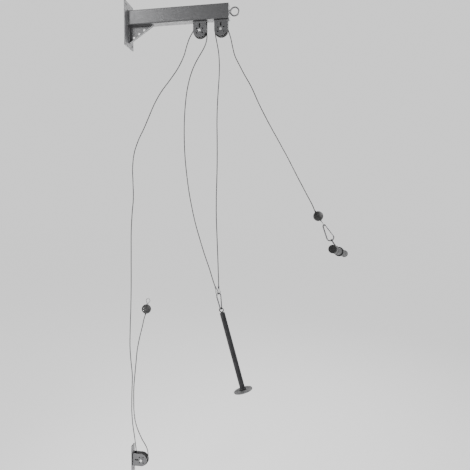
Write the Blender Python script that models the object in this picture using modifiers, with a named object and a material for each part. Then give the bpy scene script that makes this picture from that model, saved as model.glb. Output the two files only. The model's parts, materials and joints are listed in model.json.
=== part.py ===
"""Wall-mounted cable pulley system with a high and a low pulley, a loading pin and a straight bar.

Units are metres, +Z is up. The origin is the middle of the wall plate's back face, the arm
reaches out along +X, and the bar and the pulley axles lie across it, along Y.
"""

import math

import bmesh
import bpy
from mathutils import Matrix, Vector

# Clearances between pieces
SEAT_GAP = 0.0003
RING_PLAY = 0.0006
LINK_PLAY = 0.0010

# Chamfer on turned pieces, and how far a cutter or a joined shape reaches past a face
EDGE_BREAK = 0.001
OVERSHOOT = 0.002

# Wall plate and arm
PLATE_WIDTH = 0.110
PLATE_HEIGHT = 0.228
PLATE_THICKNESS = 0.006
PLATE_CORNER = 0.006
PLATE_HOLE = 0.011
PLATE_HOLE_SIDE_INSET = 0.017
PLATE_HOLE_END_INSET = 0.020
ARM_CENTRE_HEIGHT = 0.0326
ARM_LENGTH = 0.528
ARM_WIDTH = 0.050
ARM_HEIGHT = 0.075
ARM_WALL = 0.003
ARM_CORNER = 0.006
END_PLATE_THICKNESS = 0.003
EYE_RADIUS = 0.0210
EYE_WIRE = 0.0078
EYE_COLLAR_RADIUS = 0.009
EYE_COLLAR_LENGTH = 0.003
EYE_SHANK = 0.010
EYE_NUT_FLATS = 0.017
EYE_NUT_LENGTH = 0.008
EYE_SHANK_SPARE = 0.004

# Gusset under the arm
GUSSET_REACH = 0.1315
GUSSET_DROP = 0.085
GUSSET_WIDTH = 0.016
GUSSET_WEB = 0.003
GUSSET_RIM = 0.003
GUSSET_NOSE = 0.004
GUSSET_HOLE = 0.0125
GUSSET_HOLE_PITCH = 0.033
GUSSET_HOLE_INSET = 0.0105
GUSSET_HOLE_SHIFT = 0.0095
GUSSET_POCKET_CORNER = 0.002

# Pulley blocks, alike at the three places
FRONT_AXLE_SETBACK = 0.0383
AXLE_SPACING = 0.109
AXLE_DROP = 0.050
BRACKET_WIDTH = 0.068
BRACKET_DEPTH = 0.032
BRACKET_SHEET = 0.003
BRACKET_BEND = 0.005
BRACKET_PAST_AXLE = 0.0315
SLOT_TOP = 0.013
SLOT_LENGTH = 0.022
SLOT_WIDTH = 0.0065
CHEEK_HOLE = 0.007
CHEEK_HOLE_HALF_SPAN = 0.0148
CHEEK_HOLE_HALF_RISE = 0.0108
AXLE_BOLT = 0.008
AXLE_BOLT_FLATS = 0.013
AXLE_BOLT_HEAD = 0.0053
AXLE_NUT_LENGTH = 0.0065
AXLE_NUT_COLLAR = 0.0018
AXLE_BOLT_SPARE = 0.0020
AXLE_BOLT_CHAMFER = 0.0008
SLEEVE_DIAMETER = 0.012
SLEEVE_SHOULDER = 0.015
BEARING_DIAMETER = 0.024
BEARING_WIDTH = 0.006
WHEEL_DIAMETER = 0.070
WHEEL_WIDTH = 0.018
WHEEL_WEB = 0.009
WHEEL_HUB_WIDTH = 0.015
WHEEL_HUB_DIAMETER = 0.031
WHEEL_RIM_DEPTH = 0.0075
GROOVE_MOUTH = 0.0124

# Low wall plate
LOW_AXLE_HEIGHT = -2.308
LOW_PLATE_WIDTH = 0.041
LOW_PLATE_HEIGHT = 0.150
LOW_PLATE_THICKNESS = 0.005
LOW_PLATE_CORNER = 0.004
LOW_PLATE_HOLE = 0.0065
LOW_PLATE_HOLE_INSET = 0.0205

# Cables and what is pressed on their ends
CABLE = 0.005
CABLE_LEAD = 0.010
CABLE_SQUARE_END = 0.001
CABLE_LONGEST_RUN = 0.070
CABLE_LARGEST_BEND = math.radians(6)
FERRULE_LENGTH = 0.014
FERRULE_DIAMETER = 0.0092
EYE_LOOP_LENGTH = 0.030
EYE_LOOP_WIDTH = 0.024
EYE_LOOP_WIRE = 0.0032
EYE_LOOP_LEG_SPAN = 0.0038

# Ball stops
BALL_DIAMETER = 0.050
BALL_SEAM = 0.0004
BALL_FERRULE_SEAT = 0.0155
BALL_SCREW_WAY = 0.0064
BALL_SCREW_SEAT = 0.017
BALL_SCREW_SIDE = 0.0072
BALL_SCREW_RISE = 0.0070

# Spring clips, alike on the pin and on the bar
CLIP_SPAN = 0.0855
CLIP_WIRE = 0.0065
CLIP_NARROW_BEND = 0.00685
CLIP_WIDE_BEND = 0.0170
CLIP_SQUARE_END = 0.0006
GATE_DIAMETER = 0.0060
GATE_SLOT = 0.0028
TONGUE_THICKNESS = 0.0022
TONGUE_WIDTH = 0.0048
RIVET = 0.0020
RIVET_PROUD = 0.0006
CABLE_EYE_STEP = 0.0045

# Loading pin
PIN_EYE_RADIUS = 0.0108
PIN_EYE_WIRE = 0.0054
PIN_EYE_STUD = 0.010
PIN_EYE_STUD_LENGTH = 0.014
PIN_DIAMETER = 0.027
PIN_LENGTH = 0.414
PIN_CHAMFER = 0.002
PIN_COLLAR_CHAMFER = 0.0015
PIN_COLLAR_DIAMETER = 0.034
PIN_COLLAR_HEIGHT = 0.010
PIN_BASE_DIAMETER = 0.099
PIN_BASE_THICKNESS = 0.006
PIN_SCREW = 0.008
PIN_SCREW_HEAD = 0.015
PIN_SCREW_LENGTH = 0.022
PIN_SCREW_SUNK = 0.0003

# Straight bar
BAR_LENGTH = 0.490
BAR_DIAMETER = 0.035
BAR_WALL = 0.002
BAR_CAP_DIAMETER = 0.0386
BAR_CAP_FACE = 0.008
BAR_CAP_ROUNDING = 0.003
BAR_CAP_PLUG = 0.014
BAR_COLLAR_DIAMETER = 0.0368
BAR_COLLAR_WIDTH = 0.010
BAR_COLLAR_OFFSET = 0.150
BAR_HUB_DIAMETER = 0.047
BAR_HUB_WIDTH = 0.026
BAR_HUB_CHAMFER = 0.002
BAR_BOSS_DIAMETER = 0.018
BAR_BOSS_HEIGHT = 0.030
BAR_BOSS_SUNK = 0.0005
BAR_EYE_RADIUS = 0.0145
BAR_EYE_WIRE = 0.0050
BAR_EYE_STEM = 0.008
BAR_EYE_STEM_INTO_BOSS = 0.005
BAR_HANG = 0.0655

X = Vector((1, 0, 0))
Y = Vector((0, 1, 0))
Z = Vector((0, 0, 1))


def squared(vector, line):
    """Unit vector nearest to the vector and square to the line, which is a unit vector."""
    return (vector - line * vector.dot(line)).normalized()


# How the hanging pieces lie at rest
PIN_CLIP_TOP = Vector((0.4775, 0, -1.3895))
PIN_CLIP_LINE = Vector((0.184, 0, -0.983)).normalized()
PIN_CLIP_FACE = Vector((0.4226, 0.9063, 0)).normalized()
PIN_LINE = Vector((0.2646, 0, -0.9644)).normalized()
PIN_EYE_AXIS = Vector((0.1736, 0.9848, 0)).normalized()
FRONT_PIN_END_LINE = Vector((0.010, 0, -1)).normalized()
REAR_PIN_END_LINE = Vector((0.36, 0, -0.93)).normalized()
BAR_BALL = Vector((0.9842, 0, -0.991))
BAR_BALL_LINE = Vector((0.532, 0, -0.847)).normalized()
BAR_CLIP_LINE = Vector((0.460, 0, -0.888)).normalized()
BAR_AXIS = Vector((0.1657, 0.9787, -0.1213)).normalized()
BAR_HANG_LINE = squared(Vector((0.555, 0, -0.832)), BAR_AXIS)
LOW_BALL = Vector((0.0861, 0, -1.487))
LOW_BALL_LINE = Vector((0.21, 0, 0.978)).normalized()

# Where each cable leaves its wheel, as the direction from the axle
FRONT_PIN_LEAVES = Vector((-0.989, 0, -0.150)).normalized()
FRONT_BAR_LEAVES = Vector((0.934, 0, 0.357)).normalized()
REAR_PIN_LEAVES = Vector((0.999, 0, 0.050)).normalized()
REAR_DOWN_LEAVES = Vector((-0.800, 0, 0.600)).normalized()
LOW_DOWN_LEAVES = Vector((-1, 0, 0))
LOW_END_LEAVES = Vector((1, 0, 0))

# Routes of the free cable stretches between their ends
FRONT_PIN_ROUTE = [
    (0.4675, 0, -0.087), (0.4745, 0, -0.122), (0.4820, 0, -0.165), (0.4855, 0, -0.215),
    (0.4850, 0, -0.275), (0.4805, 0, -0.340), (0.4755, 0, -0.420), (0.4728, 0, -0.510),
    (0.4735, 0, -0.600), (0.4735, 0, -0.700), (0.4715, 0, -0.800), (0.4685, 0, -0.900),
    (0.4685, 0, -1.000), (0.4715, 0, -1.090), (0.4750, 0.001, -1.190), (0.4775, 0.003, -1.280),
]
FRONT_BAR_ROUTE = [
    (0.5350, 0, -0.068), (0.5440, 0, -0.096), (0.5535, 0, -0.140), (0.5660, 0, -0.187),
    (0.5885, 0, -0.233), (0.6120, 0, -0.278), (0.6460, 0, -0.338), (0.6880, 0, -0.430),
    (0.7340, 0, -0.521), (0.7840, 0, -0.612), (0.8330, 0, -0.702), (0.8790, 0, -0.792),
    (0.9260, 0, -0.881), (0.9625, 0, -0.953),
]
REAR_PIN_ROUTE = [
    (0.4215, 0, -0.088), (0.4145, 0, -0.118), (0.4000, 0, -0.147), (0.3810, 0, -0.177),
    (0.3635, 0, -0.206), (0.3485, 0, -0.236), (0.3360, 0, -0.268), (0.3265, 0, -0.300),
    (0.3155, 0, -0.350), (0.3080, 0, -0.405), (0.3025, 0, -0.470), (0.3000, 0, -0.540),
    (0.3005, 0, -0.620), (0.3045, 0, -0.700), (0.3125, 0, -0.780), (0.3230, 0, -0.860),
    (0.3375, 0, -0.940), (0.3555, 0, -1.022), (0.3790, 0, -1.105), (0.4050, -0.001, -1.188),
    (0.4340, -0.003, -1.270),
]
REAR_DOWN_ROUTE = [
    (0.3450, 0, -0.058), (0.3310, 0, -0.082), (0.3190, 0, -0.112), (0.3000, 0, -0.171),
    (0.2690, 0, -0.230), (0.2250, 0, -0.289), (0.1770, 0, -0.348), (0.1400, 0, -0.408),
    (0.1110, 0, -0.469), (0.0830, 0, -0.530), (0.0510, 0, -0.592), (0.0280, 0, -0.654),
    (0.0170, 0, -0.732), (0.0180, 0, -0.811), (0.0190, 0, -0.900), (0.0120, 0, -0.970),
    (0.0075, -0.004, -1.060), (0.0075, -0.010, -1.200), (0.0075, -0.014, -1.360),
    (0.0075, -0.022, -1.480), (0.0075, -0.034, -1.600), (0.0075, -0.038, -1.690),
    (0.0075, -0.028, -1.760), (0.0085, -0.014, -1.840), (0.0075, -0.020, -1.950),
    (0.0075, -0.022, -2.050), (0.0085, -0.010, -2.130), (0.0125, 0, -2.191),
    (0.0185, 0, -2.240), (0.0220, 0, -2.275),
]
LOW_END_ROUTE = [
    (0.0885, 0, -2.280), (0.0835, 0, -2.250), (0.0715, 0, -2.226), (0.0570, 0, -2.203),
    (0.0415, 0, -2.172), (0.0280, 0, -2.140), (0.0180, 0, -2.106), (0.0115, 0, -2.060),
    (0.0095, 0, -1.992), (0.0115, 0, -1.910), (0.0180, 0, -1.843), (0.0250, 0, -1.777),
    (0.0325, 0, -1.711), (0.0460, 0, -1.645), (0.0630, 0, -1.580), (0.0755, 0, -1.530),
]


# Clean scene and collections

def clear_scene():
    for old in list(bpy.data.objects):
        bpy.data.objects.remove(old, do_unlink=True)


def new_collection(name):
    collection = bpy.data.collections.new(name)
    bpy.context.scene.collection.children.link(collection)
    return collection


clear_scene()
PARTS = new_collection("wall_pulley_system")
TOOLS = new_collection("cutters")


# Materials

def new_material(name, colour, roughness, metallic):
    material = bpy.data.materials.new(name)
    material.use_nodes = True
    shader = material.node_tree.nodes["Principled BSDF"]
    shader.inputs["Base Color"].default_value = (*colour, 1)
    shader.inputs["Roughness"].default_value = roughness
    shader.inputs["Metallic"].default_value = metallic
    material.diffuse_color = (*colour, 1)
    return material


GREY_COAT = new_material("grey_powder_coat", (0.14, 0.14, 0.145), 0.55, 0.2)
DARK_COAT = new_material("dark_powder_coat", (0.05, 0.05, 0.055), 0.5, 0.1)
ZINC = new_material("zinc_plated_steel", (0.72, 0.72, 0.72), 0.3, 1.0)
BRIGHT = new_material("bright_clip_steel", (0.80, 0.80, 0.80), 0.2, 1.0)
BEARING_STEEL = new_material("bearing_steel", (0.60, 0.60, 0.62), 0.25, 1.0)
NYLON = new_material("black_nylon", (0.02, 0.02, 0.02), 0.45, 0.0)
RUBBER = new_material("black_rubber", (0.025, 0.025, 0.025), 0.75, 0.0)
CABLE_COAT = new_material("black_cable_coat", (0.03, 0.03, 0.03), 0.4, 0.0)
KNURLED = new_material("grey_knurled_steel", (0.28, 0.28, 0.29), 0.45, 0.8)


# Placing and joining shapes

def frame(origin, along, across):
    """Matrix whose local Z is along and whose local X is across, squared to it."""
    z_axis = Vector(along).normalized()
    x_axis = squared(Vector(across), z_axis)
    y_axis = z_axis.cross(x_axis)
    turn = Matrix((x_axis, y_axis, z_axis)).transposed()
    return Matrix.Translation(origin) @ turn.to_4x4()


def direction(place, vector):
    return (place.to_3x3() @ Vector(vector)).normalized()


def link(obj, place, material, collection=PARTS):
    collection.objects.link(obj)
    obj.matrix_basis = place
    if material:
        obj.data.materials.clear()
        obj.data.materials.append(material)
    return obj


def as_tool(obj):
    """Moves a shape to the cutters' collection and hides it from renders."""
    PARTS.objects.unlink(obj)
    TOOLS.objects.link(obj)
    obj.hide_render = True
    obj.display_type = "WIRE"
    return obj


def combine(obj, tool, operation):
    modifier = obj.modifiers.new(operation.lower(), "BOOLEAN")
    modifier.operation = operation
    modifier.solver = "EXACT"
    modifier.object = as_tool(tool)
    return obj


def cut(obj, tool):
    return combine(obj, tool, "DIFFERENCE")


def fuse(obj, tool):
    return combine(obj, tool, "UNION")


def evaluated_mesh(obj):
    bpy.context.view_layer.update()
    depsgraph = bpy.context.evaluated_depsgraph_get()
    return bpy.data.meshes.new_from_object(obj.evaluated_get(depsgraph))


def weld(mesh):
    shape = bmesh.new()
    shape.from_mesh(mesh)
    bmesh.ops.remove_doubles(shape, verts=shape.verts, dist=0.000002)
    bmesh.ops.recalc_face_normals(shape, faces=shape.faces)
    shape.to_mesh(mesh)
    shape.free()


# Basic shapes

def box(name, size, place, material=None):
    shape = bmesh.new()
    bmesh.ops.create_cube(shape, size=1)
    bmesh.ops.scale(shape, vec=size, verts=shape.verts)
    mesh = bpy.data.meshes.new(name)
    shape.to_mesh(mesh)
    shape.free()
    return link(bpy.data.objects.new(name, mesh), place, material)


def rod(name, radius, start, end, place, material=None, sides=16):
    """Round bar along the local Z of its place, from start to end."""
    shape = bmesh.new()
    bmesh.ops.create_cone(shape, cap_ends=True, segments=sides, radius1=radius, radius2=radius,
                          depth=end - start)
    bmesh.ops.translate(shape, vec=(0, 0, (start + end) / 2), verts=shape.verts)
    mesh = bpy.data.meshes.new(name)
    shape.to_mesh(mesh)
    shape.free()
    mesh.shade_smooth()
    mesh.set_sharp_from_angle(angle=math.radians(40))
    return link(bpy.data.objects.new(name, mesh), place, material)


def ring(name, radius, wire, place, material=None, steps=32, sides=10):
    """Torus round the local Z of its place."""
    bpy.ops.mesh.primitive_torus_add(major_radius=radius, minor_radius=wire / 2,
                                     major_segments=steps, minor_segments=sides)
    torus = bpy.context.object
    torus.name = name
    for collection in list(torus.users_collection):
        collection.objects.unlink(torus)
    torus.data.shade_smooth()
    return link(torus, place, material)


def turned(name, profile, place, material=None, closed=False, steps=24):
    """Spins a profile of (radius, height) points round the local Z of its place.

    An open profile starts and ends on the axis, and every profile runs down its outer side.
    """
    points = [(radius, 0, height) for radius, height in profile]
    edges = [(i, i + 1) for i in range(len(points) - 1)]
    if closed:
        edges.append((len(points) - 1, 0))
    mesh = bpy.data.meshes.new(name)
    mesh.from_pydata(points, edges, [])
    obj = bpy.data.objects.new(name, mesh)
    screw = obj.modifiers.new("turn", "SCREW")
    screw.axis = "Z"
    screw.angle = 2 * math.pi
    screw.steps = steps
    screw.render_steps = steps
    screw.use_merge_vertices = True
    screw.merge_threshold = 0.00001
    screw.use_smooth_shade = False
    return link(obj, place, material)


def flat(name, outlines, thickness, place, material=None):
    """Plate in the local XY plane of its place. The outlines after the first are its holes."""
    curve = bpy.data.curves.new(name, "CURVE")
    curve.dimensions = "2D"
    curve.fill_mode = "BOTH"
    curve.extrude = thickness / 2
    for outline in outlines:
        spline = curve.splines.new("POLY")
        spline.points.add(len(outline) - 1)
        for point, (x, y) in zip(spline.points, outline):
            point.co = (x, y, 0, 1)
        spline.use_cyclic_u = True
    drawing = bpy.data.objects.new(name, curve)
    PARTS.objects.link(drawing)
    mesh = evaluated_mesh(drawing)
    bpy.data.objects.remove(drawing, do_unlink=True)
    weld(mesh)
    mesh.name = name
    return link(bpy.data.objects.new(name, mesh), place, material)


def tube(name, points, diameter, place, material=None, resolution=2):
    """Round wire or cable through the points, which are local to its place."""
    curve = bpy.data.curves.new(name, "CURVE")
    curve.dimensions = "3D"
    curve.bevel_depth = diameter / 2
    curve.bevel_resolution = resolution
    curve.use_fill_caps = True
    spline = curve.splines.new("POLY")
    spline.points.add(len(points) - 1)
    for point, co in zip(spline.points, points):
        point.co = (*co, 1)
    spline.use_smooth = True
    return link(bpy.data.objects.new(name, curve), place, material)


def tube_as_mesh(name, points, diameter, place, material=None, resolution=2):
    wire = tube(name, points, diameter, place, None, resolution)
    mesh = evaluated_mesh(wire)
    bpy.data.objects.remove(wire, do_unlink=True)
    weld(mesh)
    mesh.shade_smooth()
    mesh.set_sharp_from_angle(angle=math.radians(40))
    return link(bpy.data.objects.new(name, mesh), place, material)


# Outlines

def circle(centre, radius, count=16):
    turns = [2 * math.pi * i / count for i in range(count)]
    return [(centre[0] + radius * math.cos(t), centre[1] + radius * math.sin(t)) for t in turns]


def arc(centre, radius, start, end, steps):
    """Points on an arc, both ends included, with its angles in degrees."""
    turns = [math.radians(start + (end - start) * i / steps) for i in range(steps + 1)]
    return [(centre[0] + radius * math.cos(t), centre[1] + radius * math.sin(t)) for t in turns]


def rounded(corners, radius, steps=4):
    """Outline through the corners, listed anticlockwise, each rounded to the radius."""
    outline = []
    count = len(corners)
    for i, corner in enumerate(corners):
        here = Vector(corner)
        back = (Vector(corners[i - 1]) - here).normalized()
        ahead = (Vector(corners[(i + 1) % count]) - here).normalized()
        half = back.angle(ahead) / 2
        middle = here + (back + ahead).normalized() * (radius / math.sin(half))
        first = here + back * (radius / math.tan(half)) - middle
        sweep = math.pi - 2 * half
        for k in range(steps + 1):
            spoke = first.copy()
            spoke.rotate(Matrix.Rotation(sweep * k / steps, 2))
            outline.append(tuple(middle + spoke))
    return outline


def rectangle(width, height, radius, steps=4):
    x = width / 2
    y = height / 2
    return rounded([(-x, -y), (x, -y), (x, y), (-x, y)], radius, steps)


def slot(centre, width, length):
    """Upright round-ended slot."""
    half = length / 2 - width / 2
    top = arc((centre[0], centre[1] + half), width / 2, 0, 180, 4)
    bottom = arc((centre[0], centre[1] - half), width / 2, 180, 360, 4)
    return top + bottom


def hexagon(across_flats):
    return circle((0, 0), across_flats / math.sqrt(3), 6)


def smooth_route(points, start_line, end_line):
    """Smooth curve through a cable's route, with more points where it bends more."""
    knots = [Vector(point) for point in points]
    lengths = [(b - a).length for a, b in zip(knots, knots[1:])]
    slopes = [Vector(start_line).normalized()]
    for i in range(1, len(knots) - 1):
        before = (knots[i] - knots[i - 1]) / lengths[i - 1]
        after = (knots[i + 1] - knots[i]) / lengths[i]
        slopes.append(before.lerp(after, lengths[i - 1] / (lengths[i - 1] + lengths[i])))
    slopes.append(Vector(end_line).normalized())
    fine = [knots[0]]
    for i, length in enumerate(lengths):
        for k in range(1, 9):
            t = k / 8
            fine.append(
                knots[i] * (2 * t ** 3 - 3 * t ** 2 + 1) + knots[i + 1] * (3 * t ** 2 - 2 * t ** 3)
                + slopes[i] * (length * (t ** 3 - 2 * t ** 2 + t))
                + slopes[i + 1] * (length * (t ** 3 - t ** 2)))
    kept = [fine[0]]
    bend = 0.0
    run = 0.0
    for before, here, after in zip(fine, fine[1:], fine[2:]):
        bend += (here - before).angle(after - here)
        run += (here - before).length
        if bend > CABLE_LARGEST_BEND or run > CABLE_LONGEST_RUN:
            kept.append(here)
            bend = 0.0
            run = 0.0
    if (fine[-1] - kept[-1]).length < CABLE:
        kept.pop()
    kept.append(fine[-1])
    return kept


# Pivots that carry the moving pieces

def pivot(name, location, parent=None):
    """Empty on a joint's axis."""
    empty = bpy.data.objects.new(name, None)
    empty.empty_display_size = 0.02
    PARTS.objects.link(empty)
    empty.matrix_basis = Matrix.Translation(location)
    if parent:
        hang(parent, [empty])
    return empty


def hang(empty, pieces):
    """Parents pieces to an empty and leaves them where they are."""
    bpy.context.view_layer.update()
    for piece in pieces:
        piece.parent = empty
        piece.matrix_parent_inverse = empty.matrix_world.inverted()


# Places worked out from the driving dimensions
ARM_START = PLATE_THICKNESS + SEAT_GAP
ARM_END = ARM_START + ARM_LENGTH
ARM_UNDERSIDE = ARM_CENTRE_HEIGHT - ARM_HEIGHT / 2
END_PLATE_FACE = ARM_END + SEAT_GAP + END_PLATE_THICKNESS
AXLE_HEIGHT = ARM_UNDERSIDE - AXLE_DROP
FRONT_AXLE = Vector((ARM_END - FRONT_AXLE_SETBACK, 0, AXLE_HEIGHT))
REAR_AXLE = FRONT_AXLE - X * AXLE_SPACING
LOW_AXLE = Vector((LOW_PLATE_THICKNESS + AXLE_DROP, 0, LOW_AXLE_HEIGHT))
GROOVE_RADIUS = CABLE / 2 + SEAT_GAP
CABLE_ON_WHEEL = WHEEL_DIAMETER / 2 - 0.002
ACROSS_WALL = frame((0, 0, 0), X, Y)


def wall_place(x, z=0.0):
    """Place of a plate that lies against the wall: local X is across it and local Y is up."""
    return Matrix.Translation((x, 0, z)) @ ACROSS_WALL


# Wall plate and arm

def make_wall_plate():
    x = PLATE_WIDTH / 2 - PLATE_HOLE_SIDE_INSET
    z = PLATE_HEIGHT / 2 - PLATE_HOLE_END_INSET
    holes = [circle((sx * x, sz * z), PLATE_HOLE / 2, 12) for sx in (-1, 1) for sz in (-1, 1)]
    outline = rectangle(PLATE_WIDTH, PLATE_HEIGHT, PLATE_CORNER)
    return flat("wall_plate", [outline] + holes, PLATE_THICKNESS,
                wall_place(PLATE_THICKNESS / 2), GREY_COAT)


def make_arm_tube():
    outer = rectangle(ARM_WIDTH, ARM_HEIGHT, ARM_CORNER)
    inner = rectangle(ARM_WIDTH - 2 * ARM_WALL, ARM_HEIGHT - 2 * ARM_WALL, ARM_CORNER - ARM_WALL)
    return flat("arm_tube", [outer, inner], ARM_LENGTH,
                wall_place((ARM_START + ARM_END) / 2, ARM_CENTRE_HEIGHT), GREY_COAT)


def make_end_plate():
    outline = rectangle(ARM_WIDTH, ARM_HEIGHT, ARM_CORNER)
    hole = circle((0, 0), EYE_SHANK / 2 + SEAT_GAP, 12)
    return flat("arm_end_plate", [outline, hole], END_PLATE_THICKNESS,
                wall_place(END_PLATE_FACE - END_PLATE_THICKNESS / 2, ARM_CENTRE_HEIGHT), GREY_COAT)


def make_arm_eye():
    """Ring and threaded shank in one forging, held by a nut inside the arm."""
    seat = Vector((END_PLATE_FACE + SEAT_GAP, 0, ARM_CENTRE_HEIGHT))
    shank_length = 2 * SEAT_GAP + END_PLATE_THICKNESS + EYE_NUT_LENGTH + EYE_SHANK_SPARE
    shank_radius = EYE_SHANK / 2
    profile = [(0, EYE_COLLAR_LENGTH + EYE_WIRE / 2), (shank_radius, EYE_COLLAR_LENGTH + EYE_WIRE / 2),
               (EYE_COLLAR_RADIUS, EYE_COLLAR_LENGTH - EDGE_BREAK), (EYE_COLLAR_RADIUS, 0),
               (shank_radius, 0), (shank_radius, -shank_length), (0, -shank_length)]
    eye = turned("arm_eye_bolt", profile, frame(seat, X, Y), DARK_COAT, steps=14)
    centre = seat + X * (EYE_COLLAR_LENGTH + EYE_RADIUS + EYE_WIRE / 2 - EDGE_BREAK)
    fuse(eye, ring("arm_eye_ring", EYE_RADIUS, EYE_WIRE, frame(centre, Y, X), steps=24, sides=8))
    nut_middle = END_PLATE_FACE - END_PLATE_THICKNESS - SEAT_GAP - EYE_NUT_LENGTH / 2
    bore = circle((0, 0), EYE_SHANK / 2 + SEAT_GAP, 12)
    flat("arm_eye_nut", [hexagon(EYE_NUT_FLATS), bore], EYE_NUT_LENGTH,
         wall_place(nut_middle, ARM_CENTRE_HEIGHT), ZINC)


def make_gusset():
    """Pressed triangle: a thin web with three holes inside a wider rim."""
    corner = Vector((PLATE_THICKNESS + SEAT_GAP, 0, ARM_UNDERSIDE - SEAT_GAP))
    place = frame(corner, -Y, X)
    tip = Vector((GUSSET_REACH, -GUSSET_NOSE))
    foot = Vector((GUSSET_NOSE, -GUSSET_DROP))
    slope = (tip - foot).normalized()
    inward = Vector((-slope.y, slope.x))
    outline = [(0, 0), (0, -GUSSET_DROP), tuple(foot), tuple(tip), (GUSSET_REACH, 0)]
    gusset = flat("arm_gusset", [outline], GUSSET_WIDTH, place, GREY_COAT)

    inner_edge = foot + inward * GUSSET_RIM
    low_end = inner_edge + slope * ((GUSSET_RIM - inner_edge.x) / slope.x)
    high_end = inner_edge + slope * ((-GUSSET_RIM - inner_edge.y) / slope.y)
    corners = [(GUSSET_RIM, -GUSSET_RIM), tuple(low_end), tuple(high_end)]
    pocket = rounded(corners, GUSSET_POCKET_CORNER, 3)
    depth = (GUSSET_WIDTH - GUSSET_WEB) / 2
    for side in (-1, 1):
        middle = place @ Matrix.Translation((0, 0, side * (GUSSET_WEB + depth + OVERSHOOT) / 2))
        cut(gusset, flat("gusset_pocket", [pocket], depth + OVERSHOOT, middle))

    row_middle = (tip + foot) / 2 - slope * GUSSET_HOLE_SHIFT + inward * GUSSET_HOLE_INSET
    for step in (-1, 0, 1):
        spot = row_middle + slope * (step * GUSSET_HOLE_PITCH)
        hole_place = place @ Matrix.Translation((spot.x, spot.y, 0))
        cut(gusset, rod("gusset_hole", GUSSET_HOLE / 2, -GUSSET_WEB, GUSSET_WEB, hole_place,
                        sides=14))
    return gusset


# Pulley blocks

def make_bracket(name, place):
    """Bent steel channel. Local Y points to what it is welded on, and Z along the axle."""
    top = AXLE_DROP - SEAT_GAP
    half_width = BRACKET_WIDTH / 2
    half_depth = BRACKET_DEPTH / 2
    inner_half = half_depth - BRACKET_SHEET
    inner_top = top - BRACKET_SHEET
    inner_bend = BRACKET_BEND - BRACKET_SHEET
    foot = -BRACKET_PAST_AXLE - OVERSHOOT
    outer_right = arc((half_depth - BRACKET_BEND, top - BRACKET_BEND), BRACKET_BEND, 0, 90, 3)
    outer_left = arc((BRACKET_BEND - half_depth, top - BRACKET_BEND), BRACKET_BEND, 90, 180, 3)
    inner_left = arc((inner_bend - inner_half, inner_top - inner_bend), inner_bend, 180, 90, 2)
    inner_right = arc((inner_half - inner_bend, inner_top - inner_bend), inner_bend, 90, 0, 2)
    section = [(half_depth, foot)] + outer_right + outer_left + [(-half_depth, foot)]
    section += [(-inner_half, foot)] + inner_left + inner_right + [(inner_half, foot)]
    channel_place = place @ frame((0, 0, 0), X, Z)
    section = [(x, -y) for x, y in reversed(section)]
    bracket = flat(name, [section], BRACKET_WIDTH + 2 * OVERSHOOT, channel_place, GREY_COAT)

    side = [(-half_width, top + OVERSHOOT)]
    side += arc((0, half_width - BRACKET_PAST_AXLE), half_width, 180, 360, 14)
    side += [(half_width, top + OVERSHOOT)]
    slot_middle = AXLE_DROP - SLOT_TOP - SLOT_LENGTH / 2
    holes = [circle((0, 0), AXLE_BOLT / 2 + SEAT_GAP, 12),
             slot((0, slot_middle), SLOT_WIDTH, SLOT_LENGTH)]
    for sx in (-1, 1):
        for sy in (-1, 1):
            spot = (sx * CHEEK_HOLE_HALF_SPAN, sy * CHEEK_HOLE_HALF_RISE)
            holes.append(circle(spot, CHEEK_HOLE / 2, 8))
    blank = flat(name + "_blank", [side] + holes, BRACKET_DEPTH + 2 * OVERSHOOT, place)
    return combine(bracket, blank, "INTERSECT")


def make_axle_bolt(name, place):
    """Hex bolt with its head on the local +Z side of the bracket."""
    face = BRACKET_DEPTH / 2 + SEAT_GAP
    end = -(face + AXLE_NUT_LENGTH + AXLE_NUT_COLLAR + AXLE_BOLT_SPARE)
    radius = AXLE_BOLT / 2
    shank = turned(name, [(0, face + AXLE_BOLT_HEAD / 2), (radius, face + AXLE_BOLT_HEAD / 2),
                          (radius, end + AXLE_BOLT_CHAMFER), (radius - AXLE_BOLT_CHAMFER, end),
                          (0, end)], place, ZINC, steps=12)
    head_middle = place @ Matrix.Translation((0, 0, face + AXLE_BOLT_HEAD / 2))
    fuse(shank, flat(name + "_head", [hexagon(AXLE_BOLT_FLATS)], AXLE_BOLT_HEAD, head_middle))
    return shank


def make_axle_nut(name, place):
    """Lock nut with the round collar that holds its nylon ring."""
    bore = AXLE_BOLT / 2 + SEAT_GAP
    top = -(BRACKET_DEPTH / 2 + SEAT_GAP)
    middle = place @ Matrix.Translation((0, 0, top - AXLE_NUT_LENGTH / 2))
    nut = flat(name, [hexagon(AXLE_BOLT_FLATS)], AXLE_NUT_LENGTH, middle, ZINC)
    end = -AXLE_NUT_LENGTH / 2 - AXLE_NUT_COLLAR
    wide = AXLE_BOLT_FLATS / 2 - AXLE_BOLT_CHAMFER
    collar = [(0, 0), (wide, 0), (wide - AXLE_BOLT_CHAMFER, end), (0, end)]
    fuse(nut, turned(name + "_collar", collar, middle, steps=12))
    return cut(nut, rod(name + "_bore", bore, end - OVERSHOOT, AXLE_NUT_LENGTH, middle, sides=12))


def make_sleeve(name, place):
    """Sleeve on the axle bolt, clamped between the cheeks, with a shoulder at the bearing."""
    shoulder = BEARING_WIDTH / 2 + SEAT_GAP
    end = BRACKET_DEPTH / 2 - BRACKET_SHEET - SEAT_GAP
    outer = SLEEVE_DIAMETER / 2
    wide = SLEEVE_SHOULDER / 2
    inner = AXLE_BOLT / 2 + SEAT_GAP
    profile = [(wide, end), (wide, shoulder), (outer, shoulder), (outer, -end), (inner, -end),
               (inner, end)]
    return turned(name, profile, place, ZINC, closed=True, steps=12)


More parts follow.
